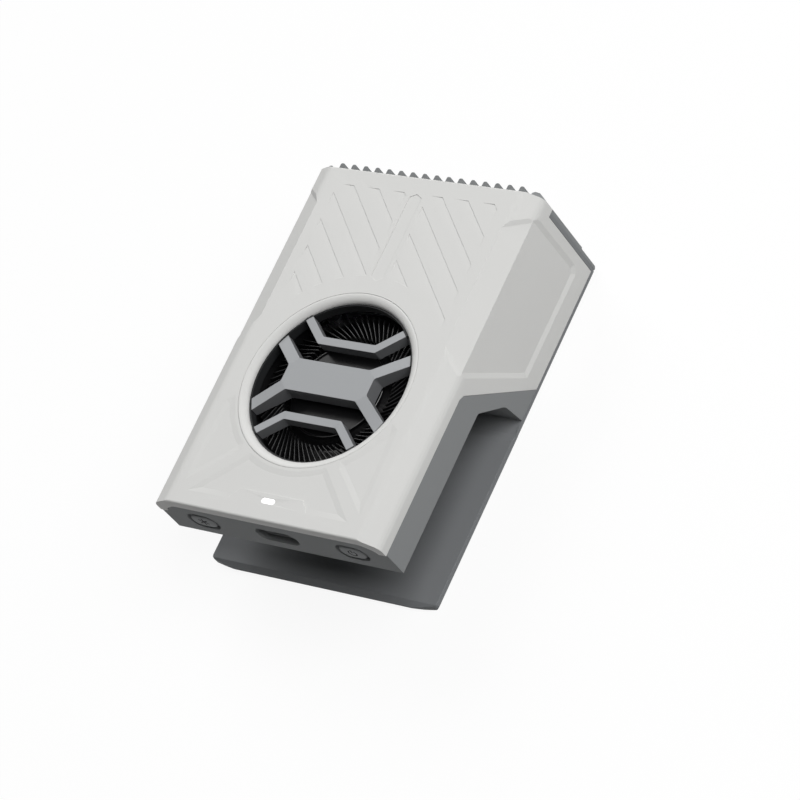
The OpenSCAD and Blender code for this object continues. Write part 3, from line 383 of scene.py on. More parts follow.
BLADES = Finish("blade_black", "wheel_black", (20, 20, 21), roughness=0.26, specular=0.4, grain_mm=0.001)
LAMINATION = Finish("lamination_steel", "lamination_steel", (118, 120, 124), roughness=0.4, metallic=1.0,
                    stretch=(0.1, 0.1, 3))
COPPER = Finish("winding_copper", "winding_copper", (178, 96, 48), roughness=0.3, metallic=1.0,
                stretch=(0.2, 0.2, 4), grain_mm=0.03)
BRONZE = Finish("bush_bronze", "bush_bronze", (186, 150, 94), roughness=0.4, metallic=1.0)
STEEL = Finish("ground_steel", "ground_steel", (205, 207, 210), roughness=0.22, metallic=1.0,
               stretch=(1, 1, 0.05))
MAGNET = Finish("magnet_grey", "magnet_grey", (56, 56, 60), roughness=0.4, metallic=0.4)
BOARD = Finish("board_green", "board_green", (18, 66, 42), roughness=0.3, coat=0.3, tone=0.15)
# The socket shell is near-black plated steel; its dark colour also stands in, as painted shade, for the shade
# inside the mouth.
SOCKET = Finish("socket_steel", "socket_steel", (18, 18, 19), roughness=0.35, metallic=1.0)
TONGUE = Finish("socket_black", "socket_black", (8, 8, 9), roughness=0.6, specular=0.04)
CONTACT = Finish("contact_gold", "socket_steel", (214, 176, 96), roughness=0.25, metallic=1.0)
WINDOW = LitFinish("lit_window", "clear_guide", (246, 246, 246), roughness=0.35, glow=0.3)
CHIP = Finish("led_yellow", "led_yellow", (250, 238, 196), roughness=0.5)
SWITCH = Finish("switch_black", "switch_black", (42, 42, 44), roughness=0.45)
IVORY = Finish("plunger_ivory", "plunger_ivory", (214, 212, 200), roughness=0.45)
SCREW_BLACK = Finish("screw_black", "screw_black", (62, 62, 66), roughness=0.35, metallic=1.0)
SCREW_ZINC = Finish("screw_zinc", "screw_zinc", (188, 190, 194), roughness=0.3, metallic=1.0)
CAP = Finish("cap_grey", "cap_grey", (96, 97, 100), roughness=0.5)
SPRING = Finish("spring_steel", "spring_steel", (180, 182, 186), roughness=0.25, metallic=1.0)


# Meshes


class Plane(Enum):
    """The plane an outline is drawn in; the third axis is the one it is drawn out along."""

    XY = "XY"
    XZ = "XZ"

    def point(self, u: float, v: float, w: float) -> Vector:
        """The row-frame point of an outline's (u, v) at distance w along the third axis."""
        return place(u, v, w) if self is Plane.XY else place(u, w, v)


def arc(cu: float, cv: float, radius: float, start: float, end: float, steps: int) -> list[Point2]:
    """Points along an arc.

    Args:
        cu: first coordinate of the centre.
        cv: second coordinate of the centre.
        radius: the arc's radius.
        start: start angle in degrees.
        end: end angle in degrees.
        steps: number of chords.

    Returns:
        The points, both ends included.
    """
    turn = [math.radians(start + (end - start) * i / steps) for i in range(steps + 1)]
    return [(cu + radius * math.cos(a), cv + radius * math.sin(a)) for a in turn]


def pill(cu: float, cv: float, width: float, height: float, steps: int = 16) -> list[Point2]:
    """Outline of a slot with round ends, counter-clockwise."""
    r, half = height / 2, (width - height) / 2
    return arc(cu + half, cv, r, -90, 90, steps) + arc(cu - half, cv, r, 90, 270, steps)


def slab(cu: float, cv: float, half_u: float, half_v: float, r: float, steps: int = 8) -> list[Point2]:
    """Outline of a rectangle with round corners, counter-clockwise."""
    corners = [(1, -1, -90), (1, 1, 0), (-1, 1, 90), (-1, -1, 180)]
    out: list[Point2] = []
    for su, sv, start in corners:
        out += arc(cu + su * (half_u - r), cv + sv * (half_v - r), r, start, start + 90, steps)
    return out


class Maker:
    """Collects closed shapes into one mesh and turns it into a piece."""

    def __init__(self) -> None:
        """Starts with nothing."""
        self.shape = bmesh.new()

    def prism(self, outline: Sequence[Point2], plane: Plane, low: float, high: float) -> None:
        """Adds an outline drawn out from low to high.

        Args:
            outline: the outline's points in order.
            plane: the plane it lies in.
            low: where it starts along the third axis.
            high: where it ends.
        """
        below = [self.shape.verts.new(plane.point(u, v, low)) for u, v in outline]
        above = [self.shape.verts.new(plane.point(u, v, high)) for u, v in outline]
        self.shape.faces.new(below)
        self.shape.faces.new(above)
        self._band(below, above)

    def _band(self, near: Sequence[bmesh.types.BMVert], far: Sequence[bmesh.types.BMVert]) -> None:
        """Joins two rings of equally many points with faces."""
        for i in range(len(near)):
            j = (i + 1) % len(near)
            self.shape.faces.new((near[i], near[j], far[j], far[i]))

    def loft(self, layers: Iterable[tuple[Sequence[Point2], float]]) -> None:
        """Joins upright outlines, each at its own y, and closes both ends.

        Args:
            layers: (outline in XZ, y) pairs in order, with equally many points.
        """
        rings = [[self.shape.verts.new(place(u, y, v)) for u, v in outline] for outline, y in layers]
        for near, far in zip(rings, rings[1:]):
            self._band(near, far)
        self.shape.faces.new(rings[0])
        self.shape.faces.new(rings[-1])

    def lathe(self, profile: Sequence[Point2], x: float, y: float, steps: int = 96) -> None:
        """Adds a closed profile turned about an upright axis.

        Args:
            profile: (radius, height) points in order round the section.
            x: x of the axis.
            y: y of the axis.
            steps: number of segments in a turn.
        """
        rings: list[list[bmesh.types.BMVert]] = []
        for i in range(steps):
            a = 2 * math.pi * i / steps
            rings.append([self.shape.verts.new(place(x + r * math.cos(a), y + r * math.sin(a), z))
                          for r, z in profile])
        count = len(profile)
        for i in range(steps):
            ahead = rings[(i + 1) % steps]
            for j in range(count):
                k = (j + 1) % count
                if profile[j][0] > 1e-6 or profile[k][0] > 1e-6:
                    self.shape.faces.new((rings[i][j], ahead[j], ahead[k], rings[i][k]))

    def wire(self, points: Sequence[Vector]) -> None:
        """Adds an open chain of edges."""
        chain = [self.shape.verts.new(p) for p in points]
        for first, second in zip(chain, chain[1:]):
            self.shape.edges.new((first, second))

    def dots(self, points: Iterable[Vector]) -> None:
        """Adds loose points."""
        for point in points:
            self.shape.verts.new(point)

    def object(self, name: str, solid: bool = True) -> bpy.types.Object:
        """Makes the object and forgets the shape.

        Args:
            name: the object's name.
            solid: whether doubles are merged and faces turned outwards.

        Returns:
            The new object, linked to the scene.
        """
        if solid:
            bmesh.ops.remove_doubles(self.shape, verts=self.shape.verts, dist=1e-7)
            bmesh.ops.recalc_face_normals(self.shape, faces=self.shape.faces)
        mesh = bpy.data.meshes.new(name)
        self.shape.to_mesh(mesh)
        self.shape.free()
        made = bpy.data.objects.new(name, mesh)
        bpy.context.scene.collection.objects.link(made)
        return made


def cad_copy(node: bpy.types.Object, name: str) -> bpy.types.Object:
    """A merged copy of a CAD node's mesh with flat areas joined up.

    Args:
        node: the CAD node.
        name: the copy's name.

    Returns:
        The new object.
    """
    maker = Maker()
    maker.shape.from_mesh(node.data)
    bmesh.ops.remove_doubles(maker.shape, verts=maker.shape.verts, dist=2e-7)
    bmesh.ops.dissolve_limit(maker.shape, angle_limit=math.radians(0.4), verts=maker.shape.verts,
                             edges=maker.shape.edges, delimit=set())
    large = [face for face in maker.shape.faces if len(face.verts) > 24]
    bmesh.ops.triangulate(maker.shape, faces=large, quad_method="BEAUTY", ngon_method="BEAUTY")
    return maker.object(name)


def freeze(piece: bpy.types.Object) -> None:
    """Turns a piece's modifiers into plain mesh.

    Args:
        piece: the object; its modifiers are removed.
    """
    graph = bpy.context.evaluated_depsgraph_get()
    graph.update()
    mesh = bpy.data.meshes.new_from_object(piece.evaluated_get(graph), preserve_all_data_layers=True,
                                           depsgraph=graph)
    piece.modifiers.clear()
    piece.data = mesh


def crease(piece: bpy.types.Object, angle: float, least: float = 1.5, breadth: float = 0.25) -> None:
    """Marks the edges where a broad flat face meets a slightly tilted one, to keep its shading even.

    Args:
        piece: the object.
        angle: edges up to this many degrees are marked.
        least: flatter edges than this, in degrees, stay smooth.
        breadth: the area over the outline's length, in millimetres, from which a face is broad.
    """
    shape = bmesh.new()
    shape.from_mesh(piece.data)
    broad = [face.calc_area() > breadth * MM * face.calc_perimeter() for face in shape.faces]
    shape.faces.ensure_lookup_table()
    low, high = math.radians(least), math.radians(angle)
    for edge in shape.edges:
        if len(edge.link_faces) == 2 and any(broad[face.index] for face in edge.link_faces):
            edge.smooth = not low < edge.calc_face_angle(0) < high
    shape.to_mesh(piece.data)
    shape.free()


def soften(piece: bpy.types.Object, width: float, segments: int = 3, angle: float = 32.0) -> None:
    """Rounds a piece's edges and shades it smoothly.

    Args:
        piece: the object.
        width: the rounding's width in millimetres.
        segments: faces across the rounding.
        angle: edges sharper than this many degrees are rounded.
    """
    bevel = piece.modifiers.new("edges", "BEVEL")
    bevel.width = width * MM
    bevel.segments = segments
    bevel.limit_method = "ANGLE"
    bevel.angle_limit = math.radians(angle)
    bevel.miter_outer = "MITER_ARC"
    freeze(piece)
    crease(piece, angle)
    piece.data.polygons.foreach_set("use_smooth", [True] * len(piece.data.polygons))
    weights = piece.modifiers.new("shading", "WEIGHTED_NORMAL")
    weights.keep_sharp = True
    freeze(piece)


def smooth(piece: bpy.types.Object, angle: float = 35.0) -> None:
    """Shades a piece smoothly, with sharp edges kept over an angle in degrees."""
    shape = bmesh.new()
    shape.from_mesh(piece.data)
    for edge in shape.edges:
        edge.smooth = len(edge.link_faces) == 2 and edge.calc_face_angle(0) < math.radians(angle)
    shape.to_mesh(piece.data)
    shape.free()
    piece.data.polygons.foreach_set("use_smooth", [True] * len(piece.data.polygons))


# Repeats


class Pattern:
    """A Geometry Nodes tree with named inputs."""

    def __init__(self, name: str, sockets: dict[str, str]) -> None:
        """Makes the tree.

        Args:
            name: the tree's name.
            sockets: input name to socket type, between the geometry and the material.
        """
        self.tree = bpy.data.node_groups.new(name, "GeometryNodeTree")
        self.graph = Graph(self.tree)
        face = self.tree.interface
        face.new_socket(name="Geometry", in_out="INPUT", socket_type="NodeSocketGeometry")
        self.keys: dict[str, str] = {}
        for label, kind in {**sockets, "Material": "NodeSocketMaterial"}.items():
            self.keys[label] = face.new_socket(name=label, in_out="INPUT", socket_type=kind).identifier
        face.new_socket(name="Geometry", in_out="OUTPUT", socket_type="NodeSocketGeometry")
        self.given = self.graph.node("NodeGroupInput").outputs

    def finish(self, geometry: bpy.types.NodeSocket) -> None:
        """Realises the geometry, gives it its material and ends the tree."""
        real = self.graph.node("GeometryNodeRealizeInstances", values={"Geometry": geometry})
        dressed = self.graph.node("GeometryNodeSetMaterial", values={
            "Geometry": real.outputs[0], "Material": self.given["Material"]})
        self.graph.node("NodeGroupOutput", values={0: dressed.outputs[0]})

    def run(self, piece: bpy.types.Object, finish: Finish, settings: dict[str, object]) -> None:
        """Applies the tree to a piece and leaves plain mesh.

        Args:
            piece: the object the tree works on.
            finish: what the result is dressed in.
            settings: input name to value.
        """
        modifier = piece.modifiers.new(self.tree.name, "NODES")
        modifier.node_group = self.tree
        for label, value in {**settings, "Material": finish.build()}.items():
            modifier[self.keys[label]] = value
        freeze(piece)


class RowPattern(Pattern):
    """Copies the piece along a line."""

    def __init__(self) -> None:
        """Builds the tree."""
        super().__init__("row", {"Count": "NodeSocketInt", "Step": "NodeSocketVector"})
        line = self.graph.node("GeometryNodeMeshLine", {"mode": "OFFSET"}, {
            "Count": self.given["Count"], "Offset": self.given["Step"]})
        copies = self.graph.node("GeometryNodeInstanceOnPoints", values={
            "Points": line.outputs[0], "Instance": self.given["Geometry"]})
        self.finish(copies.outputs[0])


class CrownPattern(Pattern):
    """Turns copies of the piece about an upright axis."""

    def __init__(self) -> None:
        """Builds the tree."""
        super().__init__("crown", {"Count": "NodeSocketInt", "Centre": "NodeSocketVector"})
        line = self.graph.node("GeometryNodeMeshLine", {"mode": "OFFSET"}, {
            "Count": self.given["Count"], "Start Location": self.given["Centre"],
            "Offset": (0.0, 0.0, 0.0)})
        index = self.graph.node("GeometryNodeInputIndex")
        share = self.graph.node("ShaderNodeMath", {"operation": "DIVIDE"}, {
            0: index.outputs[0], 1: self.given["Count"]})
        angle = self.graph.node("ShaderNodeMath", {"operation": "MULTIPLY"}, {
            0: share.outputs[0], 1: 2 * math.pi})
        turn = self.graph.node("ShaderNodeCombineXYZ", values={"Z": angle.outputs[0]})
        copies = self.graph.node("GeometryNodeInstanceOnPoints", values={
            "Points": line.outputs[0], "Instance": self.given["Geometry"],
            "Rotation": turn.outputs[0]})
        self.finish(copies.outputs[0])


class ScatterPattern(Pattern):
    """Puts a part on each point of the piece."""

    def __init__(self) -> None:
        """Builds the tree."""
        super().__init__("scatter", {"Part": "NodeSocketObject"})
        part = self.graph.node("GeometryNodeObjectInfo", values={"Object": self.given["Part"]})
        copies = self.graph.node("GeometryNodeInstanceOnPoints", values={
            "Points": self.given["Geometry"], "Instance": part.outputs["Geometry"]})
        self.finish(copies.outputs[0])


class WirePattern(Pattern):
    """Gives each chain of edges of the piece a round section."""

    def __init__(self) -> None:
        """Builds the tree."""
        super().__init__("wire", {"Radius": "NodeSocketFloat"})
        path = self.graph.node("GeometryNodeMeshToCurve", values={"Mesh": self.given["Geometry"]})
        ring = self.graph.node("GeometryNodeCurvePrimitiveCircle", values={
            "Resolution": 12, "Radius": self.given["Radius"]})
        tube = self.graph.node("GeometryNodeCurveToMesh", values={
            "Curve": path.outputs[0], "Profile Curve": ring.outputs[0], "Fill Caps": True})
        self.finish(tube.outputs[0])


# Sub-assemblies


@dataclass
class SubAssembly:
    """A group of pieces of the cooler."""

    frame: dict
    body: str = "cooler"

    def dress_node(self, node: str, finish: Finish) -> None:
        """Gives a CAD node its material."""
        data = self.frame["nodes"][node].data
        data.materials.clear()
        data.materials.append(finish.build())
        log.info("node %s: %s", node, finish.name)

    def hand_over(self, piece: bpy.types.Object, finish: Finish, *nodes: str) -> None:
        """Gives a piece its material and body, and hides the CAD nodes it stands for.

        Args:
            piece: the finished object.
            finish: its finish.
            nodes: the CAD nodes it replaces.
        """
        piece.data.materials.clear()
        piece.data.materials.append(finish.build())
        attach(piece, self.body)
        if nodes:
            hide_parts(*nodes)
        log.info("piece %s: %d faces", piece.name, len(piece.data.polygons))


@dataclass
class SoftCopy(SubAssembly):
    """A CAD node shown by a copy of itself with softened edges."""

    node: str = "top_shell"
    name: str = "cover"
    finish: Finish = COVER
    edge: float = 0.15
    segments: int = 3
    angle: float = 32.0

    def build(self) -> None:
        """Copies the node, softens the copy's edges and dresses it."""
        piece = cad_copy(self.frame["nodes"][self.node], self.name)
        soften(piece, self.edge, self.segments, self.angle)
        self.hand_over(piece, self.finish, self.node)


@dataclass
class Pad(SubAssembly):
    """A flat soft pad with round corners."""

    node: str = "jaw_pad"
    name: str = "clamp_pad"
    finish: Finish = SOFT_PAD
    y: float = 26.5
    half: Point2 = (18.5, 16.5)
    corner: float = 3.0
    z: Point2 = (1.8, 4.2)
    edge: float = 0.6
    segments: int = 4

    def build(self) -> None:
        """Builds the pad and rounds its edges."""
        maker = Maker()
        maker.prism(slab(0, self.y, *self.half, self.corner), Plane.XY, *self.z)
        pad = maker.object(self.name)
        soften(pad, self.edge, self.segments, 40)
        self.hand_over(pad, self.finish, self.node)


@dataclass
class IntakeRing(SubAssembly):
    """The ring rolled over into the intake."""

    outer: float = 22.99
    inner: float = 20.9
    roll: float = 1.4
    base_z: float = 28.5

    def build(self) -> None:
        """Turns the ring from its section."""
        width = self.outer - self.inner - 0.12
        roll = [(self.inner + width * (1 - math.sin(math.radians(a))),
                 TOP_Z - self.roll * (1 - math.cos(math.radians(a)))) for a in range(0, 91, 6)]
        section = [(self.outer, self.base_z), (self.outer, TOP_Z - 0.12), (self.outer - 0.04, TOP_Z - 0.03)]
        section += roll
        section += [(self.inner, TOP_Z - self.roll - 0.1), (self.inner + 0.45, TOP_Z - self.roll - 0.1),
                    (self.inner + 0.45, self.base_z)]
        maker = Maker()
        maker.lathe(section, 0, FAN_Y, 160)
        piece = maker.object("intake_ring")
        smooth(piece, 40)
        self.hand_over(piece, RING, "fan_ring")


@dataclass
class FanWheel(SubAssembly):
    """The wheel with its hub and crown of blades."""

    body: str = "rotor"
    floor_z: float = 22.2
    top_z: float = 26.0
    hub: float = 12.1
    collar: float = 14.0
    outer: float = 20.3
    back: float = 0.6
    sweep: float = 17.0
    thickness: float = 0.35
    count: int = 73
    shaft: float = 1.01
    boss: float = 2.4

    def _blade(self) -> bpy.types.Object:
        """One blade, modelled about the axis."""
        low, high = self.floor_z + self.back / 2, self.top_z - 0.3
        steps = 7
        left: list[Point2] = []
        right: list[Point2] = []
        for i in range(steps + 1):
            u = i / steps
            r = self.collar + 0.1 + (self.outer - self.collar - 0.3) * u
            mid = math.radians(self.sweep * (1.45 * u - 0.45 * u * u))
            half = self.thickness / 2 / r
            left.append((r * math.cos(mid - half), r * math.sin(mid - half)))
            right.append((r * math.cos(mid + half), r * math.sin(mid + half)))
        maker = Maker()
        maker.prism(left + right[::-1], Plane.XY, low, high)
        for vert in maker.shape.verts:
            vert.co.y += MID_Y * MM
        blade = maker.object("wheel_blades")
        soften(blade, 0.09, 2, 40)
        return blade

    def build(self) -> None:
        """Turns the hub and adds the blades to it."""
        wall = self.hub - 1.0
        top = self.top_z
        disc = self.floor_z + self.back
        boss = self.boss
        section = [(self.shaft, top - 1.25), (boss, top - 1.25), (boss, top - 0.8), (wall, top - 0.8),
                   (wall, self.floor_z), (self.outer, self.floor_z), (self.outer, disc - 0.1),
                   (self.outer - 0.1, disc), (self.collar, disc)]
        section += [(self.collar - 0.3, disc + 0.12), (self.hub + 0.12, top - 0.95),
                    (self.hub, top - 0.75), (self.hub, top - 0.08), (self.hub - 0.08, top),
                    (self.hub - 0.28, top), (self.hub - 0.36, top - 0.1), (self.hub - 0.45, top - 0.35),
                    (0, top - 0.35), (0, top - 0.58), (self.shaft, top - 0.58)]
        maker = Maker()
        maker.lathe(section, 0, FAN_Y, 128)
        hub = maker.object("wheel_hub")
        smooth(hub, 35)
        self.hand_over(hub, WHEEL, "fan_wheel")
        blades = self._blade()
        CrownPattern().run(blades, BLADES, {"Count": self.count, "Centre": place(0, FAN_Y, 0)})
        self.hand_over(blades, BLADES)


@dataclass
class Key(SubAssembly):
    """One push button with its mark."""

    x: float = 21.5
    width: float = 7.1
    height: float = 4.4
    face_y: float = -0.15
    wall_y: float = 2.2
    node: str = "power_button"
    mark_size: float = 2.9
    line: float = 0.32
    rim: float = 0.35
    flange: Point2 = (1.0, 0.9)
    mark_y: Point2 = (-0.015, 0.05)

    def _outline(self, inset: float = 0.0) -> list[Point2]:
        """The cap's outline, moved in by inset on every side."""
        return pill(self.x, CONTROL_Z, self.width - 2 * inset, self.height - 2 * inset, 20)

    def _stroke(self, maker: Maker, outline: Sequence[Point2]) -> None:
        """Adds one stroke of the mark, which stands a little proud of the cap."""
        maker.prism(outline, Plane.XZ, self.face_y + self.mark_y[0], self.face_y + self.mark_y[1])

    def _cap(self) -> bpy.types.Object:
        """The cap with a softly rounded rim, and its flange."""
        maker = Maker()
        maker.prism(self._outline(), Plane.XZ, self.face_y + self.rim, self.wall_y + 0.3)
        wide, tall = self.flange
        maker.prism(pill(self.x, CONTROL_Z, self.width + wide, self.height + tall, 20), Plane.XZ,
                    self.wall_y + 0.05, self.wall_y + 0.9)
        steps = 5
        layers = [(self._outline(), self.face_y + self.rim)]
        for i in range(1, steps + 1):
            a = math.radians(90 * i / steps)
            layers.append((self._outline(self.rim * (1 - math.cos(a))),
                           self.face_y + self.rim * (1 - math.sin(a))))
        maker.loft(layers)
        return maker.object(self.node + "_cap")

    def _bar(self, maker: Maker, angle: float, start: float, end: float) -> None:
        """Adds a straight stroke from start to end along a direction."""
        a = math.radians(angle)
        along = (math.cos(a), math.sin(a))
        across = (-along[1] * self.line / 2, along[0] * self.line / 2)
        points = [(self.x + along[0] * s + across[0] * t, CONTROL_Z + along[1] * s + across[1] * t)
                  for s, t in ((start, -1), (end, -1), (end, 1), (start, 1))]
        self._stroke(maker, points)

    def _mark(self) -> bpy.types.Object:
        """The stroke mark on the cap."""
        maker = Maker()
        half = self.mark_size / 2
        if self.node == "power_button":
            radius = half * 0.85
            outer = arc(self.x, CONTROL_Z, radius, 125, 415, 28)
            inner = arc(self.x, CONTROL_Z, radius - self.line, 125, 415, 28)
            self._stroke(maker, outer + inner[::-1])
            self._bar(maker, 90, 0.1, half)
        else:
            for angle in (30, 90, 150):
                self._bar(maker, angle, -half, half)
        return maker.object(self.node + "_mark")

    def build(self) -> None:
        """Builds the cap and its mark."""
        cap = self._cap()
        smooth(cap, 40)
        self.hand_over(cap, KEYS, self.node)
        self.hand_over(self._mark(), MARKS)


@dataclass
class ChargingSocket(SubAssembly):
    """The socket's shell and tongue."""

    width: float = 8.94
    height: float = 3.26
    wall: float = 0.3
    front_y: float = 1.5
    length: float = 7.3
    contacts: int = 12
    pitch: float = 0.5
    contact: Point2 = (0.13, 1.9)
    tongue: Point2 = (3.35, 0.35)

    def _shell(self) -> bpy.types.Object:
        """A drawn shell with a rounded lip, closed at the rear."""
        maker = Maker()
        back = self.front_y + self.length
        half = self.wall / 2
        steps = 6
        layers: list[tuple[float, float]] = [(0.0, back), (0.0, self.front_y + half)]
        for i in range(1, steps):
            a = math.radians(180 * i / steps)
            layers.append((half * (1 - math.cos(a)), self.front_y + half * (1 - math.sin(a))))
        layers += [(self.wall, self.front_y + half), (self.wall, back - self.wall)]
        maker.loft((pill(0, CONTROL_Z, self.width - 2 * inset, self.height - 2 * inset), y)
                   for inset, y in layers)
        return maker.object("socket_shell")

    def build(self) -> None:
        """Builds the shell, the tongue and the row of contacts."""
        shell = self._shell()
        smooth(shell, 40)
        self.hand_over(shell, SOCKET, "usb_shell")
        maker = Maker()
        maker.prism(slab(0, CONTROL_Z, *self.tongue, 0.15), Plane.XZ, self.front_y + 0.6, self.front_y + 7)
        maker.prism(pill(0, CONTROL_Z, self.width - 0.62, self.height - 0.62), Plane.XZ,
                    self.front_y + self.length - 1.9, self.front_y + self.length - 0.3)
        tongue = maker.object("socket_tongue")
        soften(tongue, 0.08, 2, 40)
        self.hand_over(tongue, TONGUE, "usb_tongue")
        first = -(self.contacts - 1) / 2 * self.pitch
        for side, label in ((1, "upper"), (-1, "lower")):
            maker = Maker()
            low, high = sorted((CONTROL_Z + side * 0.34, CONTROL_Z + side * 0.37))
            maker.prism(slab(first, self.front_y + 2.9, *self.contact, 0.05, 2), Plane.XY, low, high)
            row = maker.object("contacts_" + label)
            step = Vector((self.pitch * MM, 0, 0))
            RowPattern().run(row, CONTACT, {"Count": self.contacts, "Step": step})
            self.hand_over(row, CONTACT)


@dataclass
class Screws(SubAssembly):
    """Screws of one kind, all facing one way."""

    node: str = "grip_screws"
    heads: list[Point3] = field(default_factory=list)
    facing: Point3 = (0, 1, 0)
    radius: float = 1.75
    height: float = 0.8
    shank: float = 0.9
    length: float = 2.0
    finish: Finish = SCREW_BLACK

    def _part(self) -> bpy.types.Object:
        """One screw with a domed head and a cross recess, its head's seat at the origin, facing +Z."""
        maker = Maker()
        dome = [(self.radius * math.sin(math.radians(a)),
                 self.height * (0.55 + 0.45 * math.cos(math.radians(a)))) for a in range(80, -1, -10)]
        section = [(0, -self.length), (self.shank - 0.15, -self.length), (self.shank, -self.length + 0.2),
                   (self.shank, 0), (self.radius - 0.06, 0), (self.radius, 0.08)] + dome
        maker.lathe(section, 0, MID_Y, 40)
        screw = maker.object("screw_part")
        for arm in (0, 1):
            cutter = Maker()
            half = (self.radius * 0.62, 0.17) if arm else (0.17, self.radius * 0.62)
            cutter.prism([(-half[0], MID_Y - half[1]), (half[0], MID_Y - half[1]),
                          (half[0], MID_Y + half[1]), (-half[0], MID_Y + half[1])],
                         Plane.XY, self.height * 0.3, self.height + 1)
            tool = cutter.object("screw_cut")
            cut = screw.modifiers.new("recess", "BOOLEAN")
            cut.object = tool
            cut.operation = "DIFFERENCE"
            freeze(screw)
            bpy.data.objects.remove(tool)
        turn = Vector(self.facing).to_track_quat("Z", "Y").to_matrix().to_4x4()
        screw.data.transform(turn)
        smooth(screw, 35)
        return screw

    def build(self) -> None:
        """Puts a screw at every place."""
        part = self._part()
        maker = Maker()
        maker.dots(place(*head) for head in self.heads)
        piece = maker.object(self.node + "_set", solid=False)
        ScatterPattern().run(piece, self.finish, {"Part": part})
        bpy.data.objects.remove(part)
        self.hand_over(piece, self.finish, self.node)


@dataclass
class ReturnSpring(SubAssembly):
    """One return spring round its guide rod."""

    node: str = "spring_left"
    x: float = -21.0
    y: float = 79.0
    low: float = 8.0
    high: float = 26.0
    radius: float = 2.15
    wire: float = 0.6
    turns: int = 7
    chords: int = 32
    travel: float = 12.0

    def build(self) -> None:
        """Winds the wire and dresses it."""
        steps = self.turns * self.chords
        rise = self.high - self.low - 3 * self.wire
        points = [place(self.x + self.radius, self.y, self.low)]
        for i in range(1, steps):
            a = 2 * math.pi * self.turns * i / steps
            points.append(place(self.x + self.radius * math.cos(a), self.y + self.radius * math.sin(a),
                                self.low + 1.5 * self.wire + rise * i / steps))
        points.append(place(self.x + self.radius, self.y, self.high))
        maker = Maker()
        maker.wire(points)
        piece = maker.object(self.node + "_wire", solid=False)
        WirePattern().run(piece, SPRING, {"Radius": self.wire / 2 * MM})
        smooth(piece, 50)
        self.hand_over(piece, SPRING, self.node)
        place(self.x, self.y, self.low)
        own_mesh(piece)


@dataclass
class Inside(SubAssembly):
    """The CAD nodes that are shown as they are."""

    def build(self) -> None:
        """Dresses these CAD nodes."""
        for node, finish in {"cold_plate": ALUMINIUM, "gasket": SOFT_PAD, "tec_cold_face": CERAMIC,
                             "tec_hot_face": CERAMIC, "tec_legs": LEGS, "tec_flex": FILM,
                             "heat_sink": SINK, "fan_housing": HOUSING,
                             "stator_core": LAMINATION, "stator_coils": COPPER,
                             "bearing_sleeve": BRONZE, "fan_shaft": STEEL, "rotor_magnet": MAGNET,
                             "main_board": BOARD, "led_chip": CHIP, "mode_switch": SWITCH,
                             "power_switch": SWITCH, "mode_plunger": IVORY, "power_plunger": IVORY,
                             "guide_bushes": BRONZE, "sink_screws": SCREW_ZINC,
                             "cold_plate_screws": SCREW_ZINC, "fan_screws": SCREW_ZINC,
                             "board_screws": SCREW_ZINC, "guide_rods": STEEL, "rod_caps": CAP,
                             "light_pipe": WINDOW}.items():
            self.dress_node(node, finish)


# Studio


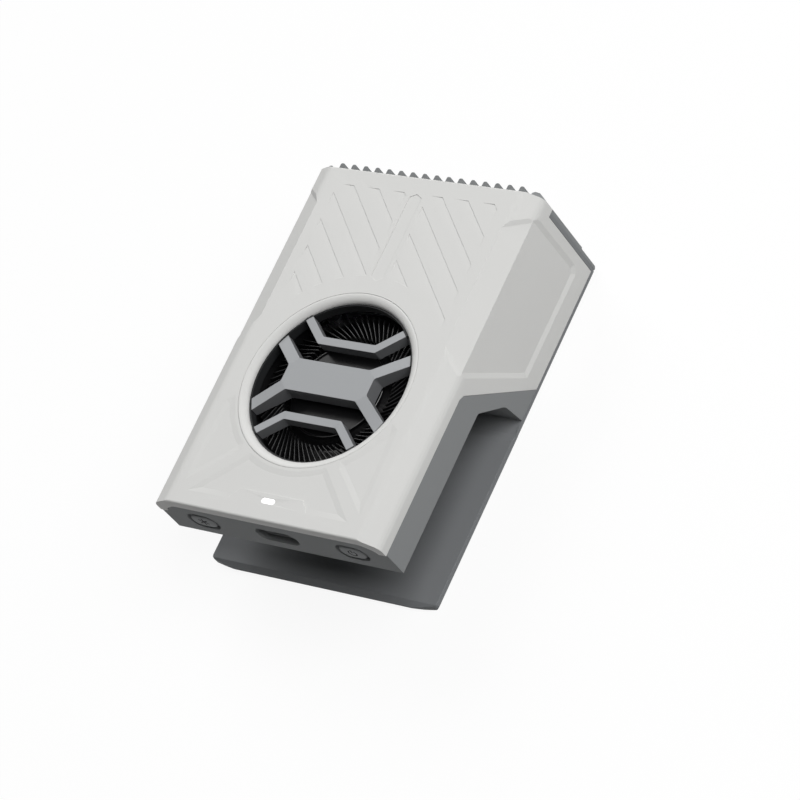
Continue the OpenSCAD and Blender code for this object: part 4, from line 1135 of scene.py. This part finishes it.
@dataclass
class Studio:
    """The floor, the lights and the camera."""

    lens: float = 160.883
    shift: tuple[float, float] = (0.0014, 0.0107)
    eye: Point3 = (0.490921, -0.280514, 0.609813)
    aim: Point3 = (0, 0, 0.015)
    reach: float = 3000.0
    floor_tone: float = 0.45
    floor_glow: float = 0.9
    ambient: float = 0.06

    def floor(self) -> None:
        """A plain pale floor that shows white to the eye and keeps its shadow."""
        maker = Maker()
        far = self.reach
        maker.prism([(-far, -far), (far, -far), (far, far), (-far, far)], Plane.XY, -20, -0.02)
        ground = maker.object("floor")
        material = bpy.data.materials.new("floor_white")
        graph = Graph.fresh(material)
        seen = graph.rays("Is Camera Ray", "Is Glossy Ray")
        pale = graph.blend(seen, (self.floor_tone,) * 3 + (1,), (1, 1, 1, 1))
        matt = graph.node("ShaderNodeBsdfPrincipled", values={"Base Color": pale, "Roughness": 0.9,
                                                              "Specular IOR Level": 0.1})
        glow = graph.node("ShaderNodeEmission", values={"Color": (1, 1, 1, 1), "Strength": 1.0})
        mixed = graph.node("ShaderNodeMixShader", values={
            0: seen * self.floor_glow, 1: matt.outputs[0], 2: glow.outputs[0]})
        graph.node("ShaderNodeOutputMaterial", values={"Surface": mixed.outputs[0]})
        ground.data.materials.append(material)

    def world(self) -> None:
        """An even, pale surround."""
        world = bpy.data.worlds.new("studio")
        bpy.context.scene.world = world
        graph = Graph.fresh(world)
        dim, white = [graph.node("ShaderNodeBackground", values={"Color": (1, 1, 1, 1), "Strength": power})
                      for power in (self.ambient, 1.0)]
        seen = graph.rays("Is Camera Ray", "Is Glossy Ray", "Is Transmission Ray")
        mixed = graph.node("ShaderNodeMixShader", values={0: seen, 1: dim.outputs[0], 2: white.outputs[0]})
        graph.node("ShaderNodeOutputWorld", values={"Surface": mixed.outputs[0]})

    def lamp(self, name: str, spot: Point3, size: float, power: float) -> None:
        """Adds a square soft light that faces the object.

        Args:
            name: the lamp's name.
            spot: its place in metres.
            size: its side in metres.
            power: its power in watts.
        """
        data = bpy.data.lights.new(name, "AREA")
        data.shape = "SQUARE"
        data.size = size
        data.energy = power
        lamp = bpy.data.objects.new(name, data)
        lamp.location = spot
        lamp.rotation_euler = (Vector(self.aim) - Vector(spot)).to_track_quat("-Z", "Y").to_euler()
        bpy.context.scene.collection.objects.link(lamp)

    def camera(self) -> None:
        """The camera at the photograph's angle."""
        data = bpy.data.cameras.new("camera")
        data.lens = self.lens
        data.sensor_width = 36
        data.shift_x, data.shift_y = self.shift
        data.clip_start = 0.01
        data.clip_end = 20
        eye = bpy.data.objects.new("camera", data)
        eye.matrix_world = Matrix.Translation(self.eye) @ Matrix((
            (0.793163, -0.142154, 0.592187, 0), (0.404364, 0.850030, -0.337548, 0),
            (-0.455393, 0.507189, 0.731694, 0), (0, 0, 0, 1)))
        bpy.context.scene.collection.objects.link(eye)
        bpy.context.scene.camera = eye

    def build(self) -> None:
        """Sets everything up."""
        bpy.context.scene.view_settings.view_transform = "Standard"
        self.floor()
        self.world()
        self.lamp("side", (1.03, 0.27, 1.24), 1.3, 24.2)
        self.lamp("left", (-1.16, 1.16, 1.25), 1.2, 22.6)
        self.camera()


def main() -> None:
    """Builds every sub-assembly in order, then the studio."""
    logging.basicConfig(level=logging.INFO, format="%(name)s: %(message)s")
    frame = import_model()
    for name in [o.name for o in bpy.data.objects if o.type in {"LIGHT", "CAMERA"}]:
        bpy.data.objects.remove(bpy.data.objects[name])
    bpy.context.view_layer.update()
    case_x, rib_pitch = 27.6, 3.46
    parts: list[SubAssembly] = [
        SoftCopy(frame, "cooler", "top_shell", "cover", COVER, 0.15, angle=12),
        IntakeRing(frame),
        SoftCopy(frame, "cooler", "grille", "fan_grille", GRILLE, 0.18),
        FanWheel(frame),
        SoftCopy(frame, "cooler", "base_frame", "lower_frame", FRAME, 0.2),
        Key(frame, "mode_key", x=-21.5, node="mode_button"),
        Key(frame, "power_key", x=21.5, node="power_button"),
        ChargingSocket(frame),
        SoftCopy(frame, "jaw", "grip_wall", "grip_back", FRAME, 0.12, segments=2),
        SoftCopy(frame, "jaw", "clamp_plate", "clamp_sheet", PLATE, 0.25),
        Pad(frame, "jaw", "jaw_pad", "clamp_pad"),
        Pad(frame, "cooler", "cold_pad", "contact_pad", COLD_PAD, y=25.5, half=(17.7, 12.7), corner=1.5,
            z=(12.3, 13.3), edge=0.25, segments=3),
        Inside(frame),
        ReturnSpring(frame, node="spring_left", x=-21.0), ReturnSpring(frame, node="spring_right", x=21.0),
        Screws(frame, "jaw", "grip_screws",
               [(s * k * rib_pitch, 91.0, 5.0) for s in (-1, 1) for k in (3, 7.5)], length=1.6),
        Screws(frame, "cooler", "case_screws",
               [(s * case_x, y, 18.5) for s in (-1, 1) for y in (15.5, 38.0)]
               + [(s * case_x, 82.2, 2.6) for s in (-1, 1)], facing=(0, 0, -1), height=1.2, length=4.5),
    ]
    for part in parts:
        part.build()
        log.info("built %s", type(part).__name__)
    Studio().build()


if __name__ == "__main__":
    main()
